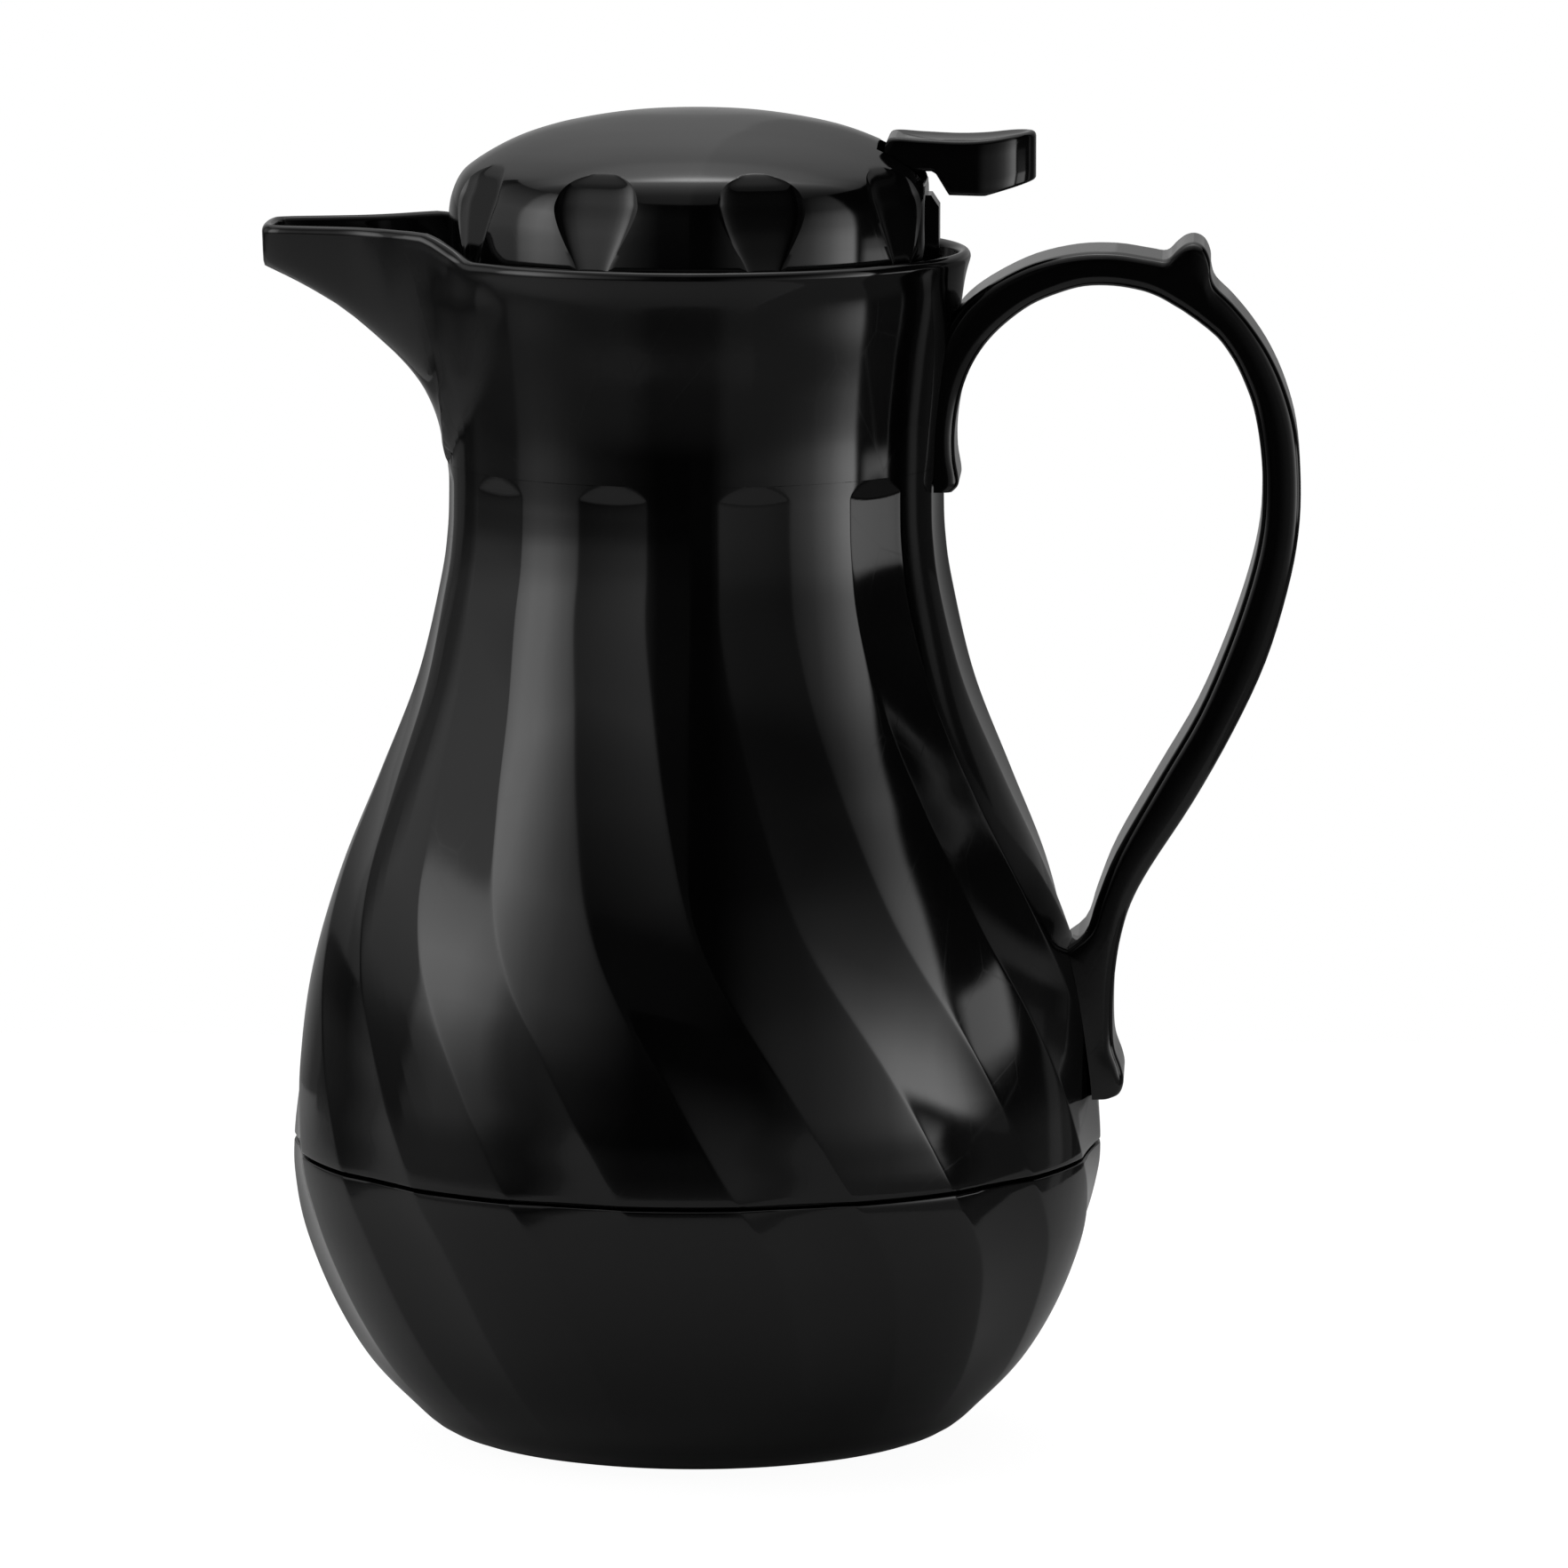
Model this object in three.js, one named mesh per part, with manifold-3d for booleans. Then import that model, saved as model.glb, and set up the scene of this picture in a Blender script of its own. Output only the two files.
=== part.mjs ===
// Thermal coffee server: a swirl-fluted vacuum jug with an open spout, a strap handle and a screw-in lid.
// Pressing the lever behind the lid lifts a sprung valve in the stopper, and coffee pours without
// the lid coming off. Millimetres, +Z up, spout towards -X, handle towards +X, base on z = 0.
import * as THREE from 'three';
import { mergeVertices } from 'three/addons/utils/BufferGeometryUtils.js';
import Module from 'manifold-3d';

const wasm = await Module();
wasm.setup();

// ---------- driving dimensions ----------
const TAU = Math.PI * 2;
const GAP = 0.3; // between pieces that touch

// Outline of the jug, [radius, height], from the foot to the rim
const BODY_OUTLINE = [
  [40, 0], [53, 2.6], [61, 9], [69.3, 18], [76.3, 30], [81.8, 44], [84.05, 55], [84.4, 62], [84.1, 69],
  [83.1, 80], [79.8, 100], [73.8, 120], [65.6, 140], [57.8, 160], [53.1, 180], [51.7, 190], [51.4, 198],
  [51.5, 204.6], [51.9, 213], [53.1, 224], [54.5, 234], [55.6, 242], [56.7, 247.6], [56.7, 254],
];
const SEAM_HEIGHT = 62;
const SEAM_GROOVE = 0.7;
const SHELL_WALL = 2.5;
const FLUTED_WALL = 3.6; // from the outline to the smooth inside, behind the flutes
const RIM_HEIGHT = 248.7;

const FLUTES = 11;
const FLUTE_DEPTH = 0.85;
const FLUTE_TOP = 204.6;
const FLUTE_FULL = 200.8; // the flute has its full depth below this height
const FLUTE_FADE = [5, 30]; // and fades out between these heights at the foot
// Turn of the swirl, [height, degrees]
const SWIRL = [
  [0, 49], [30, 43.2], [48, 39.2], [62, 33.3], [87, 23.2], [113, 12], [137, 6.3], [172, 0.5], [205, 0],
];

const SPOUT_REACH = 89.7;
const SPOUT_RIM_HEIGHT = 254;
// Keel of the spout, [height, distance from the axis]
const SPOUT_KEEL = [
  [205, 51.5], [210, 51.9], [215, 53.4], [220, 56.1], [225, 60.1], [230, 65.5], [235, 71.6], [238, 76],
  [241.2, 81.6], [243.3, 85.8], [244.4, 88.6], [245.2, 89.6], [246, SPOUT_REACH], [256, SPOUT_REACH],
];
// Plan of the spout at its rim, [degrees from its axis, share of the reach beyond the collar]
const SPOUT_PLAN = [
  [0, 1], [7.5, 1], [9, 0.88], [10.6, 0.69], [13.2, 0.475], [17, 0.335], [21.7, 0.24], [28, 0.128],
  [35, 0.045], [45, -0.02], [60, -0.3],
];
const SPOUT_SECTION = 0.3; // power that rounds its sides in towards the keel
const SPOUT_RIM_ENDS = [24.5, 39]; // degrees between which its rim drops to the collar's rim

const LID_BOTTOM = 246;
const LID_INSIDE_RADIUS = 46.6;
const LID_OUTLINE = [
  [0, 277.4], [14, 276.8], [26, 274.9], [34, 272.7], [40.5, 269.9], [45.6, 266.8], [48.4, 264.3],
  [50.2, 260.8], [51, 257], [51.2, 252], [51.2, 246],
];
const SCALLOPS = [31.5, 71.4, 111.3, 151.2]; // degrees from the lever, on both sides of it
const SCALLOP_WIDEST = 10.6;
// Half width of a scallop in degrees, [height, half width]
const SCALLOP_HALVES = [
  [246, 3], [249.7, 4.7], [253.5, 7.1], [257.5, 9.4], [260.5, SCALLOP_WIDEST], [262.5, 10.4], [264.3, 9.6],
  [265.7, 8], [266.6, 5.8], [267.2, 3], [267.4, 0],
];
// and its depth behind the flat across its edges, [height, depth]
const SCALLOP_DEPTHS = [
  [246, 0.1], [250, 0.3], [253.5, 0.6], [257.5, 0.95], [260.5, 1.15], [262.5, 1.05], [264.3, 0.75],
  [265.7, 0.45], [266.6, 0.2], [267.4, 0],
];
const LID_FLAT_REACH = 47.8; // the rear lobe is cut flat at this distance, under the lever
const LID_RIB_REACH = 50.4;

const THREAD_LEAD = 30;
const THREAD_SWEEP = 70; // degrees each thread rib runs round
const STOPPER_RADIUS = 31.2;
const BORE_RADIUS = 33.5;
const SEAT_HEIGHT = 191.5;
const PORT_RADIUS = 9;

const PIVOT = [34, 263.5]; // of the lever, [x, z]
const PIN_RADIUS = 1.8;
const LEVER_HALF_WIDTH = 11.4;

const HANDLE_WIDTH = 27;
const HANDLE_EDGE = 2.2;
// Side view of the strap, [outer x, outer z, inner x, inner z], from the upper pad to the lower pad
const HANDLE_STATIONS = [
  [47, 199.5, 53.4, 199.5], [47, 200.9, 54.6, 200.8], [47, 203, 54.7, 202.6],
  [47, 208, 54, 207], [47, 214, 54, 212.5], [47.5, 221, 55, 219],
  [49.5, 228, 57, 224.9], [52.5, 234, 60.1, 230], [56.5, 239, 64.2, 234.3],
  [62.5, 243.2, 69.5, 238.2], [70.3, 246.9, 75, 240.6], [79, 248.9, 80.5, 242.1],
  [87, 249.1, 86.5, 242.2], [93.8, 248.1, 92, 241.3], [97.3, 247.7, 95.2, 240.2],
  [99.5, 249.6, 97.2, 239.2], [101.3, 250.9, 98.9, 238.2], [103.3, 251.2, 100.6, 237.2],
  [105.2, 250.1, 102.2, 236.1], [106.3, 247.6, 103.5, 235.2], [106.5, 244.9, 104.8, 234.2],
  [107.5, 242.2, 106.2, 233.1], [111, 238.7, 108.6, 230.8], [115, 233.9, 111.4, 226.7],
  [118.8, 228, 113.6, 222.1], [122, 220.8, 115.4, 217], [124.3, 212.3, 116.7, 210],
  [125.2, 202, 117.3, 202], [124.8, 191, 116.9, 192], [122.6, 179.2, 114.6, 181.2],
  [118.2, 164.5, 110.2, 168], [111.6, 150, 104.2, 153.9], [103.4, 135.2, 96.2, 140],
  [94.6, 121.5, 87.6, 124.8], [90.6, 113.8, 83.6, 114.8], [88.6, 107, 81, 107.6],
  [87.6, 101, 74.5, 102], [87.1, 95, 74, 95], [87, 88, 76, 88],
  [87.4, 83.5, 76, 83.5], [88.8, 79.5, 76, 79.5], [89.3, 76.5, 76, 76.5],
  [88.4, 74, 76, 74], [86.4, 73, 76, 73],
];

// ---------- materials ----------
const gloss = (color, roughness = 0.12) => new THREE.MeshStandardMaterial({ color, roughness, metalness: 0 });
const metal = (color, roughness) => new THREE.MeshStandardMaterial({ color, roughness, metalness: 1 });
const MATERIALS = {
  body: gloss(0x0b0b0c),
  stopper: gloss(0x141415, 0.3),
  steel: metal(0xc4c6c8, 0.28),
  liner: metal(0xb4b6b8, 0.36),
  rubber: gloss(0x8d8f90, 0.6),
  foam: gloss(0xe6e4dd, 0.9),
};

// ---------- small helpers ----------
const radians = THREE.MathUtils.degToRad;
const mix = THREE.MathUtils.lerp;
const smoothstep = THREE.MathUtils.smoothstep;

// Straight-line look-up in a table of [key, value] pairs with rising keys
function lookUp(table, key) {
  const last = table.length - 1;
  if (key <= table[0][0]) return table[0][1];
  if (key >= table[last][0]) return table[last][1];
  const i = table.findIndex(([k]) => k >= key) - 1;
  const [k0, v0] = table[i];
  const [k1, v1] = table[i + 1];
  return mix(v0, v1, (key - k0) / (k1 - k0));
}

// Table of [height, radius] along the smooth curve through an outline
function curveTable(outline) {
  const curve = new THREE.SplineCurve(outline.map(([r, z]) => new THREE.Vector2(r, z)));
  return curve.getPoints(outline.length * 12).map((p) => [p.y, p.x]);
}

const bodyTable = curveTable(BODY_OUTLINE);
const bodyRadius = (z) => lookUp(bodyTable, z);

// A clean indexed body: shared vertices merged, collapsed triangles dropped, faces pointing out
function closed(geometry) {
  const bare = new THREE.BufferGeometry();
  bare.setAttribute('position', geometry.getAttribute('position').clone());
  if (geometry.index) bare.setIndex(geometry.index.clone());
  const merged = mergeVertices(bare, 1e-4);
  const position = merged.getAttribute('position');
  const index = merged.index.array;
  const kept = [];
  let volume = 0;
  const [a, b, c] = [new THREE.Vector3(), new THREE.Vector3(), new THREE.Vector3()];
  for (let i = 0; i < index.length; i += 3) {
    const [p, q, r] = [index[i], index[i + 1], index[i + 2]];
    if (p === q || q === r || r === p) continue;
    kept.push(p, q, r);
    a.fromBufferAttribute(position, p);
    b.fromBufferAttribute(position, q);
    c.fromBufferAttribute(position, r);
    volume += a.dot(b.cross(c));
  }
  if (volume < 0) kept.reverse();
  merged.setIndex(kept);
  merged.computeVertexNormals();
  return merged;
}

// Body through a list of rings of points; the list closes on itself, or each end has a cap
function loft(rings, closesOnItself = true) {
  const count = rings[0].length;
  const positions = rings.flat().flatMap((p) => [p.x, p.y, p.z]);
  const index = [];
  const bands = closesOnItself ? rings.length : rings.length - 1;
  for (let i = 0; i < bands; i += 1) {
    const low = i * count;
    const high = ((i + 1) % rings.length) * count;
    for (let j = 0; j < count; j += 1) {
      const k = (j + 1) % count;
      index.push(low + j, low + k, high + k, low + j, high + k, high + j);
    }
  }
  if (!closesOnItself) {
    for (const [start, flip] of [[0, true], [(rings.length - 1) * count, false]]) {
      const centre = positions.length / 3;
      const ring = rings[start / count];
      const middle = ring.reduce((sum, p) => sum.add(p), new THREE.Vector3()).divideScalar(count);
      positions.push(middle.x, middle.y, middle.z);
      for (let j = 0; j < count; j += 1) {
        const k = (j + 1) % count;
        index.push(centre, start + (flip ? k : j), start + (flip ? j : k));
      }
    }
  }
  const geometry = new THREE.BufferGeometry();
  geometry.setAttribute('position', new THREE.Float32BufferAttribute(positions, 3));
  geometry.setIndex(index);
  return closed(geometry);
}

// Body of revolution about Z from a closed profile of [radius, height]
function lathe(profile, segments = 28) {
  const onAxis = profile[0][0] === 0 && profile.at(-1)[0] === 0;
  const points = (onAxis ? profile : [...profile, profile[0]]).map(([r, z]) => new THREE.Vector2(r, z));
  return closed(new THREE.LatheGeometry(points, segments).rotateX(Math.PI / 2));
}

function cylinder(radius, length, segments = 10) {
  return closed(new THREE.CylinderGeometry(radius, radius, length, segments));
}

// Cylinder along Z about a centre
const post = (radius, length, segments, centre) => cylinder(radius, length, segments)
  .rotateX(Math.PI / 2).translate(...centre);

// Box from its low corner to its high corner
function box(low, high) {
  const size = high.map((value, i) => value - low[i]);
  const geometry = new THREE.BoxGeometry(...size);
  geometry.translate(...low.map((value, i) => value + size[i] / 2));
  return closed(geometry);
}

// A side view in the XZ plane, given thickness across Y about y = middle
function slab(outline, thickness, middle = 0, bevel = 0) {
  const shape = new THREE.Shape(outline.map(([x, z]) => new THREE.Vector2(x, z)));
  const geometry = new THREE.ExtrudeGeometry(shape, {
    depth: thickness - 2 * bevel,
    bevelEnabled: bevel > 0,
    bevelSize: bevel,
    bevelThickness: bevel,
    bevelOffset: -bevel,
    bevelSegments: 2,
    steps: 1,
  });
  geometry.translate(0, 0, -(thickness - 2 * bevel) / 2);
  geometry.rotateX(Math.PI / 2);
  geometry.translate(0, middle, 0);
  return closed(geometry);
}

function solid(geometry) {
  const body = closed(geometry);
  const mesh = new wasm.Mesh({
    numProp: 3,
    vertProperties: Float32Array.from(body.getAttribute('position').array),
    triVerts: Uint32Array.from(body.index.array),
  });
  return new wasm.Manifold(mesh);
}

function geometryOf(manifold) {
  const mesh = manifold.getMesh();
  const geometry = new THREE.BufferGeometry();
  geometry.setAttribute('position', new THREE.Float32BufferAttribute(mesh.vertProperties, 3));
  geometry.setIndex(Array.from(mesh.triVerts));
  return closed(geometry);
}

const join = (first, ...others) => geometryOf(others.reduce((sum, g) => sum.add(solid(g)), solid(first)));
const cut = (first, ...others) => geometryOf(others.reduce((sum, g) => sum.subtract(solid(g)), solid(first)));

const group = new THREE.Group();
group.name = 'thermal_coffee_server';

function add(name, geometry, material) {
  const mesh = new THREE.Mesh(geometry, material);
  mesh.name = name;
  group.add(mesh);
  return mesh;
}

// ---------- fluted body surface ----------
// Columns of the surface grid, in degrees at the collar. Each flute starts at a multiple of the pitch less
// its own width, so one flute edge lies on the handle's centre line and one on the spout's.
const FLUTE_PITCH = 360 / FLUTES;
const SHARES = [0, 1 / 4, 1 / 2, 3 / 4];
const SPOUT_PITCH = 6; // the pitch that starts on the spout's axis
const SPOUT_COLUMNS = [0, 4.5, 7.5, 9, 10.6, 13.2, FLUTE_PITCH / 2, 24];

function gridColumns() {
  const columns = [];
  for (let i = 0; i < FLUTES; i += 1) {
    const start = (i - 0.5) * FLUTE_PITCH;
    if (i === SPOUT_PITCH - 1) columns.push(...SPOUT_COLUMNS.slice(1).reverse().map((angle) => 180 - angle));
    else if (i === SPOUT_PITCH) columns.push(...SPOUT_COLUMNS.map((angle) => 180 + angle));
    else columns.push(...SHARES.map((share) => start + share * FLUTE_PITCH));
  }
  return columns;
}

const COLUMNS = gridColumns();

// Depth of the flutes at a column, before the swirl is added
function fluteShape(column) {
  const turns = column / FLUTE_PITCH + 0.5;
  const share = (turns - Math.floor(turns)) * 2; // 0 to 1 across the flute, 1 to 2 across the land
  return share < 1 ? 1 - (2 * share - 1) ** 2 : 0;
}

function fluteDepth(column, z) {
  const rise = THREE.MathUtils.clamp((FLUTE_TOP - z) / (FLUTE_TOP - FLUTE_FULL), 0, 1);
  const foot = smoothstep(z, ...FLUTE_FADE);
  return FLUTE_DEPTH * mix(1.4, 1, smoothstep(z, 60, 160)) * rise * foot * fluteShape(column);
}

function swirl(z) {
  return lookUp(SWIRL, z);
}

function ringAt(z, radiusAt) {
  return COLUMNS.map((column) => {
    const angle = radians(column + swirl(z));
    const radius = radiusAt(column, z);
    return new THREE.Vector3(radius * Math.cos(angle), radius * Math.sin(angle), z);
  });
}

const outsideRing = (z) => ringAt(z, (column) => bodyRadius(z) - fluteDepth(column, z));
const insideRing = (z, wall) => ringAt(z, () => bodyRadius(z) - wall);

// ---------- spout and collar surface ----------
const fromSpout = (column) => Math.abs(column - 180);

function rimHeight(column) {
  return mix(SPOUT_RIM_HEIGHT, RIM_HEIGHT, smoothstep(fromSpout(column), ...SPOUT_RIM_ENDS));
}

// The larger of two numbers, rounded where they meet
function softMax(a, b, width) {
  const near = Math.max(width - Math.abs(a - b), 0) / width;
  return Math.max(a, b) + (near * near * width) / 4;
}

const keelHeights = SPOUT_KEEL.slice(0, -1).map(([z, reach]) => [reach, z]);

// Outline of the spout at a height, [degrees from its axis, reach], from its keel out to the collar
function spoutOutline(z) {
  const outline = [[0, lookUp(SPOUT_KEEL, z)]];
  for (const [off, share] of SPOUT_PLAN) {
    const reach = mix(bodyRadius(SPOUT_RIM_HEIGHT), SPOUT_REACH, share);
    const x = reach * Math.cos(radians(off));
    const keel = lookUp(keelHeights, x);
    if (z <= keel) continue;
    const full = Math.min((z - keel) / (SPOUT_RIM_HEIGHT - keel), 1) ** SPOUT_SECTION;
    const y = reach * Math.sin(radians(off)) * full;
    if (y > 0) outline.push([THREE.MathUtils.radToDeg(Math.atan2(y, x)), Math.hypot(x, y)]);
  }
  return outline;
}

// Width of the fillet between spout and collar
function filletWidth(z) {
  const fade = smoothstep(z, 238, 250);
  return mix(6 * THREE.MathUtils.clamp((z - FLUTE_TOP) / 20, 0.01, 1), 1.2, fade);
}

function collarPoint(column, share) {
  const z = mix(FLUTE_TOP, rimHeight(column), share);
  const off = fromSpout(column);
  const outline = spoutOutline(z);
  const spout = off > outline.at(-1)[0] ? 0 : lookUp(outline, off);
  const radius = softMax(bodyRadius(z), spout, filletWidth(z));
  const angle = radians(column);
  return new THREE.Vector3(radius * Math.cos(angle), radius * Math.sin(angle), z);
}

// Inside of the collar and spout: the outside moved in along its own normal
function collarInside(column, share, wall, flat) {
  const step = 0.4;
  const along = collarPoint(column + step, share).sub(collarPoint(column - step, share));
  const shareLow = Math.max(share - 0.01, 0);
  const up = collarPoint(column, Math.min(share + 0.01, 1)).sub(collarPoint(column, shareLow));
  const normal = along.cross(up);
  if (flat) normal.z = 0;
  return collarPoint(column, share).addScaledVector(normal.normalize(), -wall);
}

const COLLAR_SHARES = [0.08, 0.2, 0.35, 0.5, 0.62, 0.72, 0.803, 0.93, 1];

// ---------- jug pieces ----------
const TONGUE = { low: [46.2, -6, 200.2], high: [53, 6, 203.6] };
const HANDLE_SCREW_HEIGHT = 99;

function outerShell() {
  const bottom = SEAM_HEIGHT + SEAM_GROOVE / 2;
  const heights = [bottom, 75, 88, 101, 114, 127, 140, 154, 170, 186, FLUTE_FULL, FLUTE_TOP];
  const outside = heights.map(outsideRing);
  const collar = COLLAR_SHARES.map((share) => COLUMNS.map((column) => collarPoint(column, share)));
  const lining = [...COLLAR_SHARES].reverse().slice(0, -1)
    .map((share) => COLUMNS.map((column) => collarInside(column, share, SHELL_WALL, share === 1)));
  const neck = insideRing(206.2, SHELL_WALL);
  const inside = [FLUTE_TOP, 180, 160, 142, 124, 106, 90, 75, bottom].map((z) => insideRing(z, FLUTED_WALL));
  const shell = loft([...outside, ...collar, ...lining, neck, ...inside]);
  const slot = box(TONGUE.low.map((v) => v - GAP), TONGUE.high.map((v) => v + GAP));
  const screwHole = cylinder(2.2, 12).rotateZ(Math.PI / 2).translate(78, 0, HANDLE_SCREW_HEIGHT);
  return cut(shell, slot, screwHole);
}

function baseCup() {
  const top = SEAM_HEIGHT - SEAM_GROOVE / 2;
  const outside = [2.6, 9, 18, 30, 46, top].map(outsideRing);
  const circle = (radius, z) => ringAt(z, () => radius);
  const spigot = [circle(79.9, top), circle(79.7, 67.5), circle(78.7, 67.5), circle(78.7, top - 2)];
  const inside = [46, 28, 9].map((z) => insideRing(z, 3.4));
  const floor = [[44, 5], [26, 5], [26, 2.5], [33.8, 2.5], [33.8, 0], [40, 0]].map(([r, z]) => circle(r, z));
  const cup = loft([...outside, ...spigot, ...inside, ...floor]);
  const bosses = screwPlaces(BASE_SCREWS).map(([x, y]) => post(3.5, 4, 10, [x, y, 6.5]));
  const holes = screwPlaces(BASE_SCREWS).map(([x, y]) => post(1.8, 9, 10, [x, y, 4.6]));
  return cut(join(cup, ...bosses), ...holes);
}

const BASE_SCREWS = { radius: 29.7, first: 90 };
const LID_SCREWS = { radius: 39.5, first: 60 };

function screwPlaces({ radius, first }) {
  return [0, 1, 2].map((i) => {
    const angle = radians(first + i * 120);
    return [radius * Math.cos(angle), radius * Math.sin(angle)];
  });
}

function baseCap() {
  const disc = lathe([[0, 0], [32.4, 0], [33.1, 0.7], [33.1, 2.2], [0, 2.2]]);
  const sinks = screwPlaces(BASE_SCREWS).flatMap(([x, y]) => [
    post(3.2, 3, 10, [x, y, 0.2]),
    post(1.8, 6, 10, [x, y, 2]),
  ]);
  return cut(disc, ...sinks);
}

// Screw pointing up, with its head's underside at z = 0
function screw(shaftRadius, length, headRadius, headHeight) {
  return lathe([
    [0, -headHeight], [headRadius * 0.8, -headHeight], [headRadius, 0],
    [shaftRadius, 0], [shaftRadius, length * 0.85], [0, length],
  ], 10);
}

// The vacuum liner is two steel pressings that meet at the mouth
const LINER_OUTLINE = [
  [0, 10], [38, 10], [57, 17], [70.6, 37], [77.2, 60], [75.2, 86], [66, 120], [50.2, 160], [43.6, 190],
  [43.6, 193.6],
];

function linerOuterWall() {
  const inner = LINER_OUTLINE.map(([r, z]) => [Math.max(r - 1, 0), z < 20 ? z + 1 : z]);
  return lathe([...LINER_OUTLINE, ...inner.reverse()], 24);
}

function linerInnerWall() {
  const outside = [
    [0, 16], [34, 16], [50.6, 22], [63.8, 40], [70, 62], [68, 86], [59, 120], [43.8, 160], [39.2, 190],
    [40.2, 193.9], [43.6, 193.9],
  ];
  const inside = [
    [43.6, 194.6], [39.6, 194.6], [38.2, 190], [42.7, 160], [57.8, 120], [66.8, 86], [68.8, 62], [62.7, 40.6],
    [50, 23], [33.8, 17.2], [0, 17.2],
  ];
  return lathe([...outside, ...inside], 24);
}

function linerCushion() {
  return lathe([[0, 2.5], [24.5, 2.5], [25.4, 3.4], [25.4, 9.7], [12, 9.7], [12, 7.5], [0, 7.5]]);
}

function linerGasket() {
  return lathe([[39, 195], [43.4, 195], [43.8, 195.8], [43.4, 196.7], [39, 196.7]]);
}

// Helical ridge between two radii, centred on a start angle and height, for the coarse lid thread
function ridge(innerRadius, outerRadius, startAngle, startHeight) {
  const steps = 8;
  const half = 1.5;
  const rings = [];
  for (let i = 0; i <= steps; i += 1) {
    const angle = radians(startAngle + (THREAD_SWEEP * i) / steps);
    const height = startHeight + (THREAD_LEAD * THREAD_SWEEP * i) / steps / 360;
    const taper = i === 0 || i === steps ? 0.6 : 1;
    const corners = [
      [innerRadius, -half], [outerRadius, -half * 0.6], [outerRadius, half * 0.6], [innerRadius, half],
    ];
    rings.push(corners.map(([r, dz]) => new THREE.Vector3(
      r * Math.cos(angle), r * Math.sin(angle), height + dz * taper)));
  }
  return loft(rings, false);
}

function neckInsert() {
  const ring = lathe([
    [28, 189], [37.4, 189], [37.4, 197], [44.5, 197], [44.5, 206.7], [48.5, 206.7], [48.5, 210.4],
    [48, 211], [35.4, 211], [BORE_RADIUS, 209.4], [BORE_RADIUS, SEAT_HEIGHT], [28, SEAT_HEIGHT],
  ]);
  const ribs = [40, 160, 280].map((start) => ridge(BORE_RADIUS + 0.5, STOPPER_RADIUS + 0.6, start, 200.2));
  return join(ring, ...ribs);
}

// ---------- handle ----------
function handle() {
  const half = HANDLE_WIDTH / 2;
  const corner = HANDLE_EDGE;
  const rings = HANDLE_STATIONS.map(([ax, az, bx, bz]) => {
    const outer = new THREE.Vector3(ax, 0, az);
    const inner = new THREE.Vector3(bx, 0, bz);
    const thickness = outer.distanceTo(inner);
    const round = (1 - Math.SQRT1_2) * corner;
    // one quarter of the rounded section, [share of the thickness, distance across]
    const quarter = [[0, half - corner], [round / thickness, half - round], [corner / thickness, half]];
    const section = [
      ...quarter,
      ...quarter.map(([t, y]) => [1 - t, y]).reverse(),
      ...quarter.map(([t, y]) => [1 - t, -y]),
      ...quarter.map(([t, y]) => [t, -y]).reverse(),
    ];
    return section.map(([t, y]) => outer.clone().lerp(inner, t).setY(y));
  });
  const profile = [20, 40, 60, 72, 80, 90, 100, 110, 120, 140, 160, 180, 195, 205, 215, 225, 235, 242, 252]
    .map((z) => [bodyRadius(z) + GAP, z]);
  const jug = lathe([[0, 20], ...profile, [0, 252]], 64);
  const strap = cut(loft(rings, false), jug);
  const tongue = box(TONGUE.low, TONGUE.high);
  const hook = box([TONGUE.low[0], -6, 196.6], [TONGUE.low[0] + 1.3, 6, TONGUE.high[2]]);
  const screwHole = cylinder(1.8, 12).rotateZ(Math.PI / 2).translate(79.4, 0, HANDLE_SCREW_HEIGHT);
  return cut(join(strap, tongue, hook), screwHole);
}

// ---------- lid ----------
// Columns of the lid's grid: edges, flanks and middle of each scallop, then the lobe after it
function lidColumns() {
  const half = SCALLOP_WIDEST;
  const middles = [...SCALLOPS, ...SCALLOPS.map((angle) => 360 - angle).reverse()];
  return middles.flatMap((middle, i) => {
    const following = middles[i + 1] ?? middles[0] + 360;
    const lobe = following - middle - 2 * half;
    const shares = [-half, -half / 2, 0, half / 2, half, half + lobe / 3, half + (lobe * 2) / 3];
    return shares.map((share) => middle + share);
  });
}

function scallopDepth(column, z) {
  const turned = Math.abs(THREE.MathUtils.euclideanModulo(column + 180, 360) - 180);
  const off = Math.min(...SCALLOPS.map((angle) => Math.abs(turned - angle)));
  const half = lookUp(SCALLOP_HALVES, z);
  if (off >= half) return 0;
  const chord = 50 * (1 - Math.cos(radians(half))) * (1 - (off / half) ** 2);
  return chord + lookUp(SCALLOP_DEPTHS, z) * (1 - (off / half) ** 6);
}

function lidRing(radius, z) {
  return lidColumns().map((column) => {
    const angle = radians(column);
    const flat = Math.cos(angle) > 0.9 ? LID_FLAT_REACH / Math.cos(angle) : Infinity;
    const reach = Math.min(radius - scallopDepth(column, z), flat);
    return new THREE.Vector3(reach * Math.cos(angle), reach * Math.sin(angle), z);
  });
}

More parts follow.
